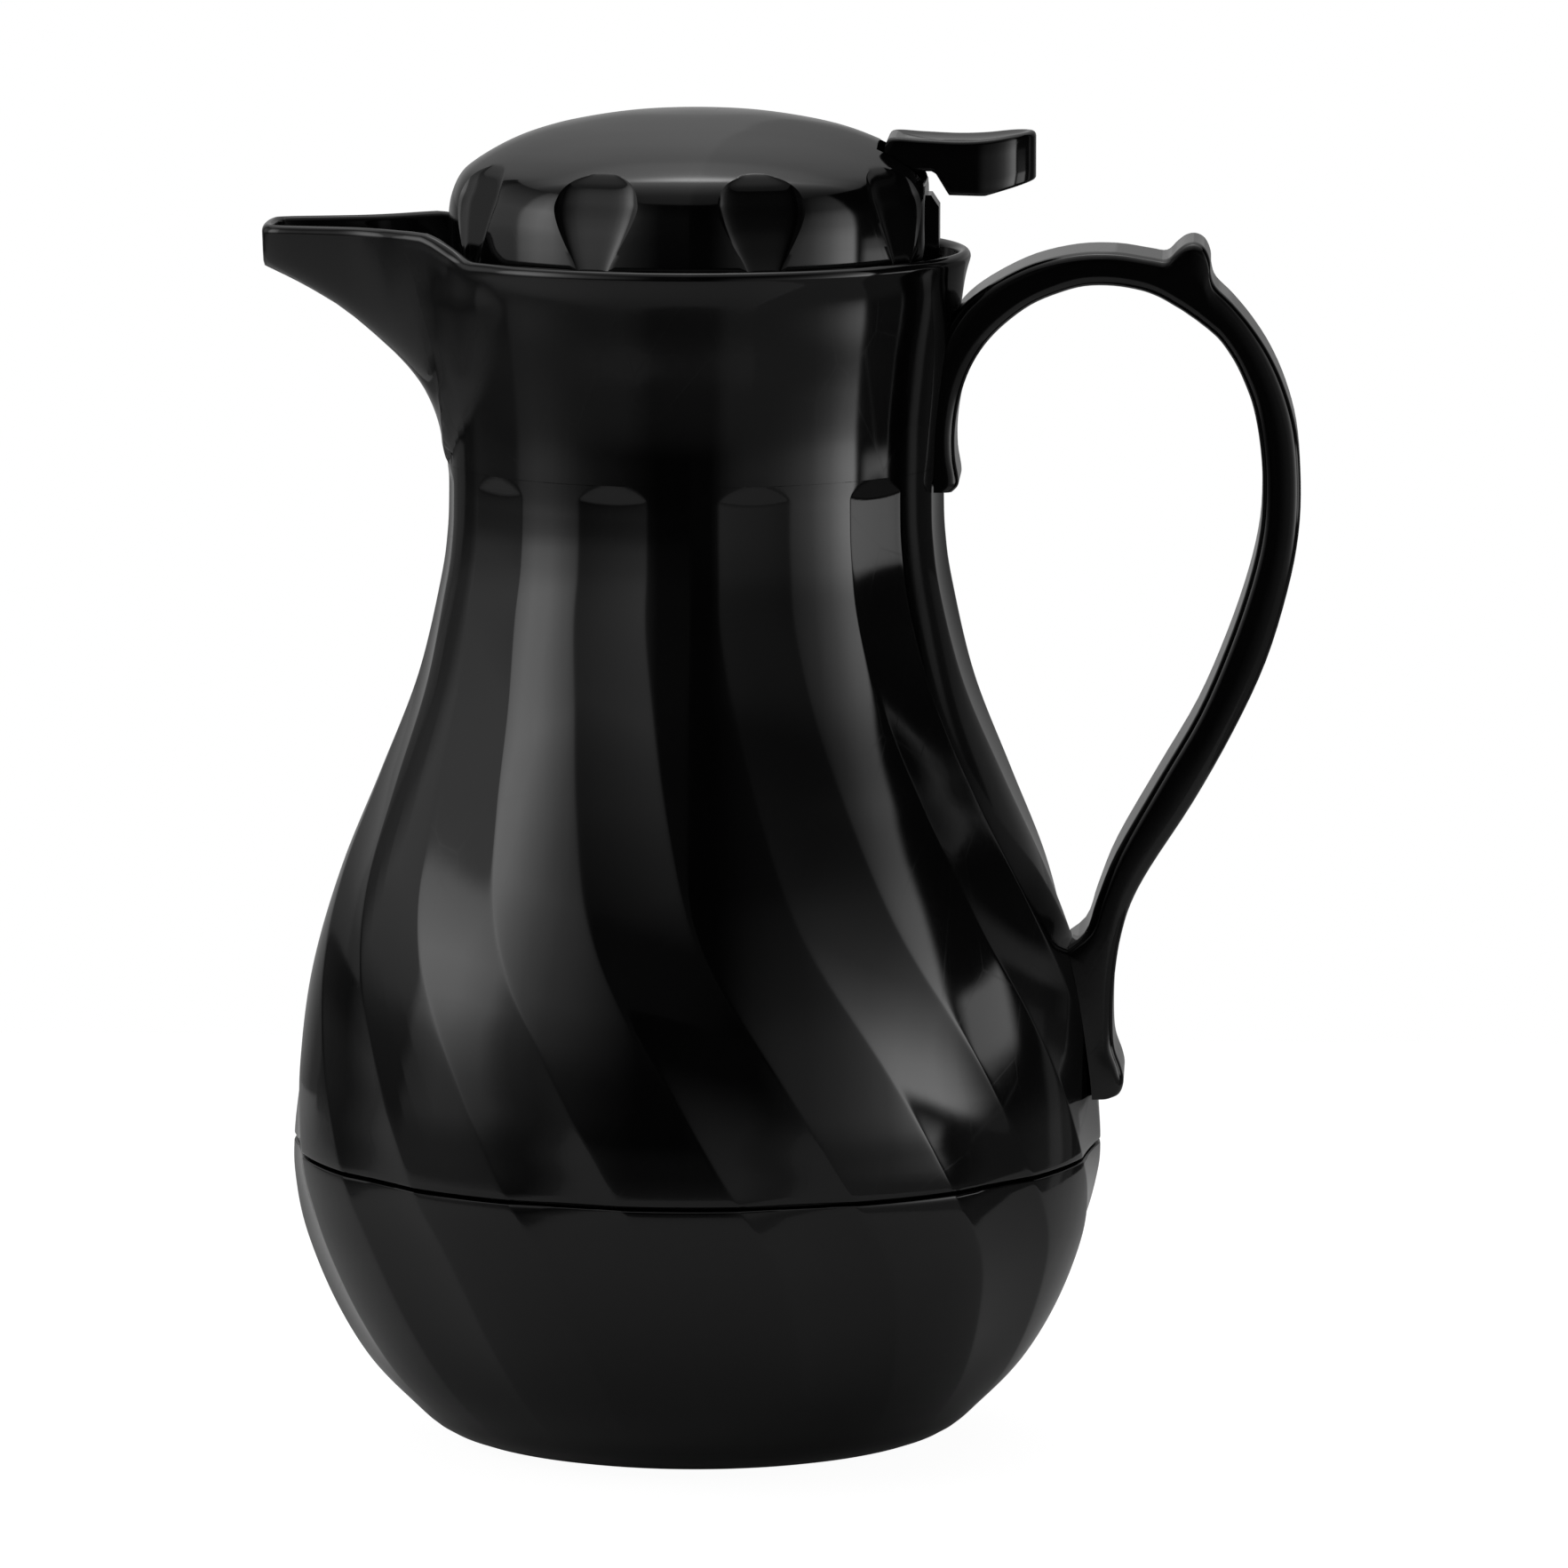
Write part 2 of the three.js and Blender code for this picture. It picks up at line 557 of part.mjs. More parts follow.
function lidCover() {
  const crown = LID_OUTLINE.map(([r, z]) => lidRing(r, z));
  const circle = (radius, z) => lidColumns().map((column) => new THREE.Vector3(
    radius * Math.cos(radians(column)), radius * Math.sin(radians(column)), z));
  const inside = [
    [LID_INSIDE_RADIUS, LID_BOTTOM], [LID_INSIDE_RADIUS, 259], [43.6, 265], [38, 268.2], [26, 272.1],
    [13, 274.4], [0, 275.6],
  ].map(([r, z]) => circle(r, z));
  const rings = [...crown, ...inside];
  const cover = loft(rings, false);
  const bosses = screwPlaces(LID_SCREWS).map(([x, y]) => post(3.8, 20, 12, [x, y, 258]));
  const holes = screwPlaces(LID_SCREWS).map(([x, y]) => post(1.8, 14, 12, [x, y, 250]));
  const rib = slab([
    [47, 246.6], [LID_RIB_REACH, 246.6], [LID_RIB_REACH, 257.8], [48.8, 260.2], [47, 260.2],
  ], 11);
  const slot = slab([
    [37.8, 285], [37.8, 266.8], [41, 262.6], [56, 262.6], [56, 285],
  ], 2 * LEVER_HALF_WIDTH + 2.2);
  return cut(join(cover, ...bosses, rib), ...holes, slot);
}

// A disc-shaped outline of points about a centre in the XZ plane
function disc([x, z], radius, count = 16) {
  return Array.from({ length: count }, (_, i) => [
    x + radius * Math.cos((TAU * i) / count),
    z + radius * Math.sin((TAU * i) / count),
  ]);
}

function stopperBody() {
  const cup = lathe([
    [PORT_RADIUS, 192.2], [27.6, 192.2], [27.6, 194.6], [STOPPER_RADIUS, 194.6], [STOPPER_RADIUS, 240.5],
    [45.6, 244.8], [46.2, 245.4], [46.2, 247.6], [28.7, 247.6], [28.7, 197], [11, 197], [11, 198],
    [PORT_RADIUS, 198],
  ]);
  const lugs = [40, 160, 280].map((start) => ridge(STOPPER_RADIUS - 0.5, BORE_RADIUS - 0.6, start, 196.6));
  const ears = [-14.8, 14.8].map((middle) => slab([
    [28.8, 247], [39.4, 247], [38.2, 263.5], [37.2, 266.4], [34, 267.6], [30.8, 266.4], [29.8, 263.5],
  ], 2.8, middle));
  const windows = [30, 90, 150].map((angle) => box([-36, -6.5, 213], [36, 6.5, 227]).rotateZ(radians(angle)));
  const pinHole = cylinder(PIN_RADIUS + GAP, 40).translate(PIVOT[0], 0, PIVOT[1]);
  const screwHoles = screwPlaces(LID_SCREWS).map(([x, y]) => post(2, 8, 12, [x, y, 246]));
  return cut(join(cup, ...lugs, ...ears), ...windows, pinHole, ...screwHoles);
}

function stopperSeal() {
  return lathe([[27.9, 191.8], [30.4, 191.8], [31, 192.8], [30.6, 194.3], [27.9, 194.3]]);
}

function stemGuide() {
  return lathe([
    [3, 229.6], [28.3, 229.6], [28.3, 232], [6, 232], [5.4, 244.5], [3, 244.5],
  ]);
}

function insulationPlug() {
  return lathe([[6.6, 232.5], [28, 232.5], [28, 246], [6.6, 246]]);
}

// ---------- lever and valve ----------
const LEVER_BEND = 57.7; // the sides of the paddle are straight up to here
const LEVER_END = 70.3;

function pourLever() {
  const arm = slab([
    [34, 260], [38.6, 261], [43.6, 265.6], [49.6, 265.6], [52.6, 260.7], [59.9, 260.5],
    [LEVER_END, 263.3], [LEVER_END, 273.4], [66, 272.9], [60, 272.1], [54, 271.9], [47, 272.2], [40.9, 272.5],
    [39.5, 268.4], [37.3, 266.2], [34, 266.2],
  ], 2 * LEVER_HALF_WIDTH, 0, 1);
  const plan = [[-12, -LEVER_HALF_WIDTH], [LEVER_BEND, -LEVER_HALF_WIDTH]];
  for (let i = 1; i < 8; i += 1) {
    const angle = -Math.PI / 2 + (Math.PI * i) / 8;
    const x = LEVER_BEND + (LEVER_END - LEVER_BEND) * Math.cos(angle);
    plan.push([x, LEVER_HALF_WIDTH * Math.sin(angle)]);
  }
  plan.push([LEVER_BEND, LEVER_HALF_WIDTH], [-12, LEVER_HALF_WIDTH]);
  const shape = new THREE.Shape(plan.map(([x, y]) => new THREE.Vector2(x, y)));
  const column = new THREE.ExtrudeGeometry(shape, { depth: 40, bevelEnabled: false });
  const planCutter = closed(column.translate(0, 0, 245));
  const paddle = geometryOf(solid(arm).intersect(solid(planCutter)));
  const hub = slab(disc(PIVOT, 4), 2 * LEVER_HALF_WIDTH);
  const inner = slab([
    [-6.4, 261.4], [30, 261.4], [34, 260.4], [34, 266], [30, 265.2], [-6.4, 265.2],
  ], 13);
  const hollow = box([53.8, -8.8, 258], [67, 8.8, 269.8]);
  const pinHole = cylinder(PIN_RADIUS + GAP, 40).translate(PIVOT[0], 0, PIVOT[1]);
  const stemSlot = box([-3.8, -3.2, 255], [3.8, 3.2, 270]);
  return cut(join(paddle, hub, inner), hollow, pinHole, stemSlot);
}

function leverPin() {
  return lathe([
    [0, -17.2], [PIN_RADIUS - 0.3, -17.2], [PIN_RADIUS, -16.8], [PIN_RADIUS, 16.8], [PIN_RADIUS - 0.3, 17.2],
    [0, 17.2],
  ], 16).rotateX(Math.PI / 2).translate(PIVOT[0], 0, PIVOT[1]);
}

function valveStem() {
  return lathe([
    [0, 196], [1.6, 196], [2, 196.6], [2, 200.6], [11, 200.6], [11, 202.2], [6, 202.7], [2.4, 203.4],
    [2.4, 265.2], [1.4, 265.2], [1.4, 268.4], [0, 268.4],
  ], 16);
}

function stemCap() {
  return lathe([[1.7, 267.1], [2.7, 265.5], [5, 265.5], [5, 267.2], [4.2, 268.2], [1.7, 268.2]], 16);
}

function valveWasher() {
  return lathe([[2.3, 198.3], [12, 198.3], [12.4, 199.3], [12, 200.3], [2.3, 200.3]]);
}

function valveSpring() {
  const turns = 5;
  const low = 204.2;
  const high = 228.6;
  class Helix extends THREE.Curve {
    getPoint(t, target = new THREE.Vector3()) {
      const angle = TAU * turns * t;
      return target.set(8.6 * Math.cos(angle), 8.6 * Math.sin(angle), mix(low, high, t));
    }
  }
  const section = new THREE.Shape(disc([0, 0], 0.6, 5).map(([x, y]) => new THREE.Vector2(x, y)));
  return closed(new THREE.ExtrudeGeometry(section, { steps: 50, extrudePath: new Helix() }));
}

// ---------- assembly ----------
add('outer_shell', outerShell(), MATERIALS.body);
add('base_cup', baseCup(), MATERIALS.body);
add('base_cap', baseCap(), MATERIALS.body);
screwPlaces(BASE_SCREWS).forEach(([x, y], i) => {
  add(`base_screw_${i + 1}`, screw(1.4, 6.4, 2.8, 1.1), MATERIALS.steel).position.set(x, y, 1.5 - GAP);
});
add('liner_outer_wall', linerOuterWall(), MATERIALS.liner);
add('liner_inner_wall', linerInnerWall(), MATERIALS.liner);
add('liner_cushion', linerCushion(), MATERIALS.rubber);
add('liner_gasket', linerGasket(), MATERIALS.rubber);
add('neck_insert', neckInsert(), MATERIALS.stopper);
add('handle', handle(), MATERIALS.body);
const handleScrew = add('handle_screw', screw(1.4, 10, 3.4, 1.4), MATERIALS.steel);
handleScrew.rotation.y = Math.PI / 2;
handleScrew.position.set(bodyRadius(HANDLE_SCREW_HEIGHT) - FLUTED_WALL - 1.3, 0, HANDLE_SCREW_HEIGHT);
add('lid_cover', lidCover(), MATERIALS.body);
add('stopper_body', stopperBody(), MATERIALS.stopper);
add('stopper_seal', stopperSeal(), MATERIALS.rubber);
screwPlaces(LID_SCREWS).forEach(([x, y], i) => {
  add(`lid_screw_${i + 1}`, screw(1.5, 11, 3.2, 1.6), MATERIALS.steel).position.set(x, y, 241.6);
});
add('stem_guide', stemGuide(), MATERIALS.stopper);
add('insulation_plug', insulationPlug(), MATERIALS.foam);
add('lever_pin', leverPin(), MATERIALS.steel);
add('valve_spring', valveSpring(), MATERIALS.steel);
add('pour_lever', pourLever(), MATERIALS.body);
add('valve_stem', valveStem(), MATERIALS.stopper);
add('stem_cap', stemCap(), MATERIALS.steel);
add('valve_washer', valveWasher(), MATERIALS.rubber);

export default group;
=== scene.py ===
"""Looks of the thermal coffee server: fine meshes, plastics, steel and rubber, in a pale studio.

Lengths are in millimetres, as in the CAD source, and meshes are scaled to metres as they are made.
"""

import math

import bmesh
import bpy
import numpy as np
from mathutils import Matrix, Vector


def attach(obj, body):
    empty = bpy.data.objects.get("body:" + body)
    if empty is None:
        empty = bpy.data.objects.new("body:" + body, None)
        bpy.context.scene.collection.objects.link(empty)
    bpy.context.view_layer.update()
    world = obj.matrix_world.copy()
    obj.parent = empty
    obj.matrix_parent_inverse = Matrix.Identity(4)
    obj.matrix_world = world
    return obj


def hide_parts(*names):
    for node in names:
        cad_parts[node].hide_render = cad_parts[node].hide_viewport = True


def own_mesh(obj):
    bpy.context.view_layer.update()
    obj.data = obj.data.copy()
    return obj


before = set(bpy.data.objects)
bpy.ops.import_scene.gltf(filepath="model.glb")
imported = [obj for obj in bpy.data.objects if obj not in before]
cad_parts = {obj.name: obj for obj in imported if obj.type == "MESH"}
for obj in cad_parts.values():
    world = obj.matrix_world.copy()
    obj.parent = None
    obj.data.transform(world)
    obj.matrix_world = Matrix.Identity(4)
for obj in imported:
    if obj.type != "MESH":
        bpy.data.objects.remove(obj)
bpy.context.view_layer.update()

MM = 0.001

# ---------- sizes shared with the CAD part ----------
BODY_OUTLINE = [
    (40, 0), (53, 2.6), (61, 9), (69.3, 18), (76.3, 30), (81.8, 44), (84.05, 55), (84.4, 62), (84.1, 69),
    (83.1, 80), (79.8, 100), (73.8, 120), (65.6, 140), (57.8, 160), (53.1, 180), (51.7, 190), (51.4, 198),
    (51.5, 204.6), (51.9, 213), (53.1, 224), (54.5, 234), (55.6, 242), (56.7, 247.6), (56.7, 254),
]
SEAM = 62
SEAM_GROOVE = 0.7
WALL = 2.5
FLUTED_WALL = 3.6
RIM = 248.7
RIM_SWELL = 0.2  # the collar thickens by this much under its rolled edge

FLUTES = 11
PITCH = 360 / FLUTES  # degrees
FLUTE_DEPTH = 0.85
FLUTE_TOP = 204.6
FLUTE_FACET = 3.9  # height of the sloping facet that ends each flute
FLUTE_ARCH = 3.0  # fall of the facet's upper edge from its middle to its ends
FLUTE_FADE = (5, 30)  # heights between which the flutes begin
# Turn of the flutes in degrees by height
SWIRL = [
    (0, 49), (30, 43.2), (48, 39.2), (62, 33.3), (87, 23.2), (113, 12), (137, 6.3), (172, 0.5),
    (188, 0), (205, 0),
]

SPOUT_RIM = 254
# Keel of the spout, (height, distance from the jug's axis)
SPOUT_KEEL = [
    (205, 51.5), (210, 51.9), (215, 53.4), (220, 56.1), (225, 60.1), (230, 65.5), (235, 71.6), (238, 76),
    (241.2, 81.6), (243.3, 85.8), (244.4, 88.6), (245.2, 89.5), (246, 89.6), (256, 89.6),
]
# Plan of the rim at the spout, (degrees from its axis, share of the way from the collar to its tip)
SPOUT_PLAN = [
    (0, 1), (5.5, 1), (7.2, 0.985), (8.2, 0.935), (9, 0.87), (10.6, 0.69), (13.2, 0.475), (17, 0.335),
    (21.7, 0.24), (28, 0.128), (35, 0.045), (45, -0.02), (60, -0.3),
]
SPOUT_REACH = 89.6
SPOUT_SECTION = 0.3  # power that rounds its sides in towards the keel
SPOUT_RIM_ENDS = (24.5, 39)  # degrees from its axis over which its rim comes down to the collar's

LID_BOTTOM = 246
LID_OUTLINE = [
    (0, 277.4), (14, 276.8), (26, 274.9), (34, 272.7), (40.5, 269.9), (45.6, 266.8), (48.4, 264.3),
    (50.2, 260.8), (51, 257), (51.2, 252), (51.2, 246),
]
SCALLOPS = (31.5, 71.4, 111.3, 151.2)  # degrees from the lever, on both sides of it
# Half width in degrees of each scallop by height
SCALLOP_HALVES = [
    (246, 3), (249.7, 4.7), (253.5, 7.1), (257.5, 9.4), (260.5, 10.6), (262.5, 10.4), (264.3, 9.6),
    (265.7, 8), (266.6, 5.8), (267.2, 3), (267.4, 0),
]
# and its depth behind the flat across its edges
SCALLOP_DEPTHS = [
    (246, 0.1), (250, 0.3), (253.5, 0.6), (257.5, 0.95), (260.5, 1.15), (262.5, 1.05), (264.3, 0.75),
    (265.7, 0.45), (266.6, 0.2), (267.4, 0),
]
LID_FLAT = 47.8  # the lid is cut flat at this distance, under the lever

THREAD_LEAD = 30
THREAD_SWEEP = 70  # degrees
STOPPER_RADIUS = 31.2
BORE_RADIUS = 33.5
PIVOT = (34, 263.5)  # of the lever, (x, z)
PIN_HOLE = 2.1
LEVER_HALF = 11.4
LEVER_BEND = 57.7  # the sides of the paddle are straight up to here
LEVER_END = 70.3

HANDLE_WIDTH = 27
HANDLE_EDGE = 2.2
# Side view of the strap, (outer x, outer z, inner x, inner z), from the upper pad to the lower pad
HANDLE_STATIONS = [
    (47, 199.5, 53.4, 199.5), (47, 200.9, 54.6, 200.8), (47, 203, 54.7, 202.6),
    (47, 208, 54, 207), (47, 214, 54, 212.5), (47.5, 221, 55, 219),
    (49.5, 228, 57, 224.9), (52.5, 234, 60.1, 230), (56.5, 239, 64.2, 234.3),
    (62.5, 243.2, 69.5, 238.2), (70.3, 246.9, 75, 240.6), (79, 248.9, 80.5, 242.1),
    (87, 249.1, 86.5, 242.2), (93.8, 248.1, 92, 241.3), (97.3, 247.7, 95.2, 240.2),
    (99.5, 249.6, 97.2, 239.2), (101.3, 250.9, 98.9, 238.2), (103.3, 251.2, 100.6, 237.2),
    (105.2, 250.1, 102.2, 236.1), (106.3, 247.6, 103.5, 235.2), (106.5, 244.9, 104.8, 234.2),
    (107.5, 242.2, 106.2, 233.1), (111, 238.7, 108.6, 230.8), (115, 233.9, 111.4, 226.7),
    (118.8, 228, 113.6, 222.1), (122, 220.8, 115.4, 217), (124.3, 212.3, 116.7, 210),
    (125.2, 202, 117.3, 202), (124.8, 191, 116.9, 192), (122.6, 179.2, 114.6, 181.2),
    (118.2, 164.5, 110.2, 168), (111.6, 150, 104.2, 153.9), (103.4, 135.2, 96.2, 140),
    (94.6, 121.5, 87.6, 124.8), (90.6, 113.8, 83.6, 114.8), (88.6, 107, 81, 107.6),
    (87.6, 101, 74.5, 102), (87.1, 95, 74, 95), (87, 88, 76, 88),
    (87.4, 83.5, 76, 83.5), (88.8, 79.5, 76, 79.5), (89.3, 76.5, 76, 76.5),
    (88.4, 74, 76, 74), (86.4, 73, 76, 73),
]
# Rings of three screws: radius and angle of the first
BASE_SCREWS = (29.7, 90)
LID_SCREWS = (39.5, 60)


# ---------- small helpers ----------
def spline(points, per_span=16):
    """Smooth curve through points of any dimension."""
    points = np.asarray(points, float)
    last = len(points) - 1
    t = np.linspace(0, last, last * per_span + 1)
    i = np.minimum(t.astype(int), last - 1)
    w = (t - i)[:, None]
    a, b, c, d = (points[np.clip(i + k, 0, last)] for k in (-1, 0, 1, 2))
    v0, v1 = (c - a) / 2, (d - b) / 2
    return (2 * b - 2 * c + v0 + v1) * w**3 + (3 * c - 3 * b - 2 * v0 - v1) * w**2 + v0 * w + b


def add_object(name, data):
    made = bpy.data.objects.new(name, data)
    bpy.context.scene.collection.objects.link(made)
    return made


def smoothstep(x, low, high):
    t = np.clip((x - low) / (high - low), 0, 1)
    return t * t * (3 - 2 * t)


def mix(a, b, t):
    return a + (b - a) * t


def soft_positive(x, width):
    """x where it is positive and 0 where it isn't, with a rounded corner between."""
    return (x + np.sqrt(x * x + width * width)) / 2


def soft_min(a, b, width):
    return a - soft_positive(a - b, width)


def polar(radius, degrees, z):
    angle = np.radians(degrees)
    return np.stack(np.broadcast_arrays(radius * np.cos(angle), radius * np.sin(angle), z), axis=-1)


def finish_mesh(name, mesh, sharp=32):
    """Object of a closed mesh, faces out and smooth except across sharp edges."""
    bm = bmesh.new()
    bm.from_mesh(mesh)
    bmesh.ops.remove_doubles(bm, verts=bm.verts, dist=1e-7)
    bmesh.ops.recalc_face_normals(bm, faces=bm.faces)
    bm.to_mesh(mesh)
    bm.free()
    mesh.shade_smooth()
    mesh.set_sharp_from_angle(angle=math.radians(sharp))
    return add_object(name, mesh)


def loft(name, rings, closes=True, sharp=32):
    """Closed body through rings of points; the rings close on themselves, or each end has a cap."""
    rings = np.asarray(rings, float)
    bands, count, _ = rings.shape
    vertices = rings.reshape(-1, 3) * MM
    upper = np.arange(bands if closes else bands - 1)
    low = (upper[:, None] * count + np.arange(count)).ravel()
    low_next = (upper[:, None] * count + (np.arange(count) + 1) % count).ravel()
    high = (((upper + 1) % bands)[:, None] * count + np.arange(count)).ravel()
    high_next = (((upper + 1) % bands)[:, None] * count + (np.arange(count) + 1) % count).ravel()
    faces = np.stack([low, low_next, high_next, high], axis=1).tolist()
    if not closes:
        faces.append(list(range(count))[::-1])
        faces.append(list(range((bands - 1) * count, bands * count)))
    mesh = bpy.data.meshes.new(name)
    mesh.from_pydata(vertices.tolist(), [], faces)
    return finish_mesh(name, mesh, sharp)


def rounded(profile, radius=0.35, steps=3):
    """A closed profile with its corners off the axis rounded."""
    points = np.asarray(profile, float)
    out = []
    for i, here in enumerate(points):
        before, after = points[i - 1] - here, points[(i + 1) % len(points)] - here
        lengths = np.linalg.norm(before), np.linalg.norm(after)
        if here[0] < 1e-6 or min(lengths) < 1e-6:
            out.append(here)
            continue
        before, after = before / lengths[0], after / lengths[1]
        reach = min(radius, 0.42 * lengths[0], 0.42 * lengths[1])
        start, end = here + before * reach, here + after * reach
        for t in np.linspace(0, 1, steps + 1):
            out.append((1 - t) ** 2 * start + 2 * t * (1 - t) * here + t * t * end)
    return np.array(out)


def lathe(name, profile, segments=128, radius=0.35, sharp=32):
    """Body of revolution about Z from a closed profile of (radius, height)."""
    outline = rounded(profile, radius) if radius else np.asarray(profile, float)
    angles = np.arange(segments) * 360 / segments
    on_axis = profile[0][0] == 0 and profile[-1][0] == 0
    rings = [polar(r, angles, z) for r, z in outline]
    if not on_axis:
        return loft(name, rings, True, sharp)
    return loft(name, rings[1:-1], False, sharp)


def prism(name, outline, low, high, axis="Y", bevel=0.0):
    """Straight body of an (x, z) outline run along Y, or of an (x, y) outline run along Z."""
    points = np.asarray(outline, float)
    rings = []
    steps = [(low, 0), (high, 0)]
    if bevel:
        steps = [(low, bevel), (low + bevel, 0), (high - bevel, 0), (high, bevel)]
    along = np.roll(points, -1, 0) - np.roll(points, 1, 0)
    turn = np.sum(points[:, 0] * np.roll(points[:, 1], -1) - points[:, 1] * np.roll(points[:, 0], -1))
    inward = np.stack([-along[:, 1], along[:, 0]], axis=1) * np.sign(turn)
    inward /= np.maximum(np.linalg.norm(inward, axis=1, keepdims=True), 1e-9)
    for place, inset in steps:
        flat = points + inward * inset
        level = np.full(len(points), place)
        columns = (flat[:, 0], level, flat[:, 1]) if axis == "Y" else (flat[:, 0], flat[:, 1], level)
        rings.append(np.stack(columns, axis=1))
    return loft(name, rings, False, 25)


def brick(name, low, high):
    (x0, y0, z0), (x1, y1, z1) = low, high
    return prism(name, [(x0, y0), (x1, y0), (x1, y1), (x0, y1)], z0, z1, "Z")


def rod(name, place, radius, low, high, axis="Z", segments=40):
    """Round bar along Z through (x, y), or along Y through (x, z)."""
    angles = np.radians(np.arange(segments) * 360 / segments)
    circle = np.stack([place[0] + radius * np.cos(angles), place[1] + radius * np.sin(angles)], axis=1)
    return prism(name, circle, low, high, axis)


def combine(piece, others, operation, sharp=32):
    """Cuts the others from a piece or joins them to it, and removes them."""
    for other in others:
        modifier = piece.modifiers.new("combine", "BOOLEAN")
        modifier.operation = operation
        modifier.solver = "EXACT"
        modifier.object = other
    graph = bpy.context.evaluated_depsgraph_get()
    made = bpy.data.meshes.new_from_object(piece.evaluated_get(graph))
    piece.modifiers.clear()
    piece.data = made
    made.shade_smooth()
    made.set_sharp_from_angle(angle=math.radians(sharp))
    for other in others:
        bpy.data.objects.remove(other)
    return piece


def cut(piece, *others, sharp=32):
    return combine(piece, others, "DIFFERENCE", sharp)


def join(piece, *others, sharp=32):
    return combine(piece, others, "UNION", sharp)


def around(radius, first, count=3):
    """Places evenly round a circle, from an angle in degrees."""
    angles = [math.radians(first + i * 360 / count) for i in range(count)]
    return [(radius * math.cos(angle), radius * math.sin(angle)) for angle in angles]


# ---------- fluted body surface ----------
body_curve = spline(BODY_OUTLINE)
swirl_curve = spline(SWIRL)


def body_radius(z):
    return np.interp(z, body_curve[:, 1], body_curve[:, 0])


def swirl(z):
    return np.interp(z, swirl_curve[:, 0], swirl_curve[:, 1])


def fine_columns():
    flute = [0, 0.012, 0.03, 0.06, 0.11, 0.18, 0.27, 0.38, 0.5, 0.62, 0.73, 0.82, 0.89, 0.94, 0.97, 0.988]
    land = [0, 0.012, 0.03, 0.06, 0.12, 0.24, 0.4, 0.6, 0.76, 0.88, 0.94, 0.97, 0.988]
    columns = []
    for i in range(FLUTES):
        columns += [(i - 0.5 + share / 2) * PITCH for share in flute]
        columns += [(i + share / 2) * PITCH for share in land]
    near_spout = [5, 6.2, 7, 7.7, 8.3, 8.9, 9.6, 10.4, 11.4, 12.6, 14.2, 20, 22.5, 27]
    columns += [180 + side * off for off in near_spout for side in (-1, 1)]
    kept = []
    for column in sorted(columns):
        if not kept or column - kept[-1] > 0.09:
            kept.append(column)
    return np.array(kept)


COLUMNS = fine_columns()


def flute_depth(column, z):
    """Depth below the outline; the upper end of each flute is a sloping facet with an arched edge."""
    across = np.mod(column / PITCH + 0.5, 1) * 2
    across = np.where(across > 1.5, across - 2, across)
    off = np.abs(2 * across - 1)
    scoop = soft_positive(1 - off**2, 0.07)
    facet = soft_positive((FLUTE_TOP - FLUTE_ARCH * off**2 - z) / FLUTE_FACET, 0.04)
    deep = FLUTE_DEPTH * mix(1.4, 1, smoothstep(z, 60, 160)) * smoothstep(z, *FLUTE_FADE)
    return deep * np.maximum(soft_min(scoop, facet, 0.05), 0)


def body_ring(z, inset=0.0):
    return polar(body_radius(z) - flute_depth(COLUMNS, z) - inset, COLUMNS + swirl(z), z)


def plain_ring(z, radius):
    return polar(radius, COLUMNS + swirl(z), z)


# ---------- collar and spout surface ----------
plan_curve = spline(SPOUT_PLAN, 12)
keel_curve = spline(SPOUT_KEEL, 8)
keel_curve = keel_curve[:np.argmax(keel_curve[:, 1] >= SPOUT_REACH - 0.02) + 1]


def rim_height(column):
    return mix(SPOUT_RIM, RIM, smoothstep(np.abs(column - 180), *SPOUT_RIM_ENDS))


def soft_max(a, b, width):
    near = np.maximum(width - np.abs(a - b), 0) / width
    return np.maximum(a, b) + near * near * width / 4


def spout_reach(off, z):
    """Reach of the spout at angles from its axis; 0 where the collar stands outside it."""
    reach = mix(float(body_radius(SPOUT_RIM)), SPOUT_REACH, plan_curve[:, 1])
    x = reach * np.cos(np.radians(plan_curve[:, 0]))
    keel = np.interp(x, keel_curve[:, 1], keel_curve[:, 0])
    full = np.clip((z - keel) / (SPOUT_RIM - keel), 0, 1) ** SPOUT_SECTION
    y = reach * np.sin(np.radians(plan_curve[:, 0])) * full
    kept = (z > keel) & (y > 0)
    angle = np.concatenate([[0], np.degrees(np.arctan2(y, x))[kept]])
    reach = np.concatenate([[np.interp(z, keel_curve[:, 0], keel_curve[:, 1])], np.hypot(x, y)[kept]])
    return np.interp(off, angle, reach, right=0)


def collar_ring(z):
    """Outside of the collar at a height for each column."""
    z = np.broadcast_to(z, COLUMNS.shape)
    spout = np.array([float(spout_reach(off, height)) for off, height in zip(np.abs(COLUMNS - 180), z)])
    fillet = mix(6 * np.clip((z - FLUTE_TOP) / 20, 0.0005, 1) ** 0.6, 1.2, smoothstep(z, 238, 250))
    return polar(soft_max(body_radius(z), spout, fillet), COLUMNS, z)


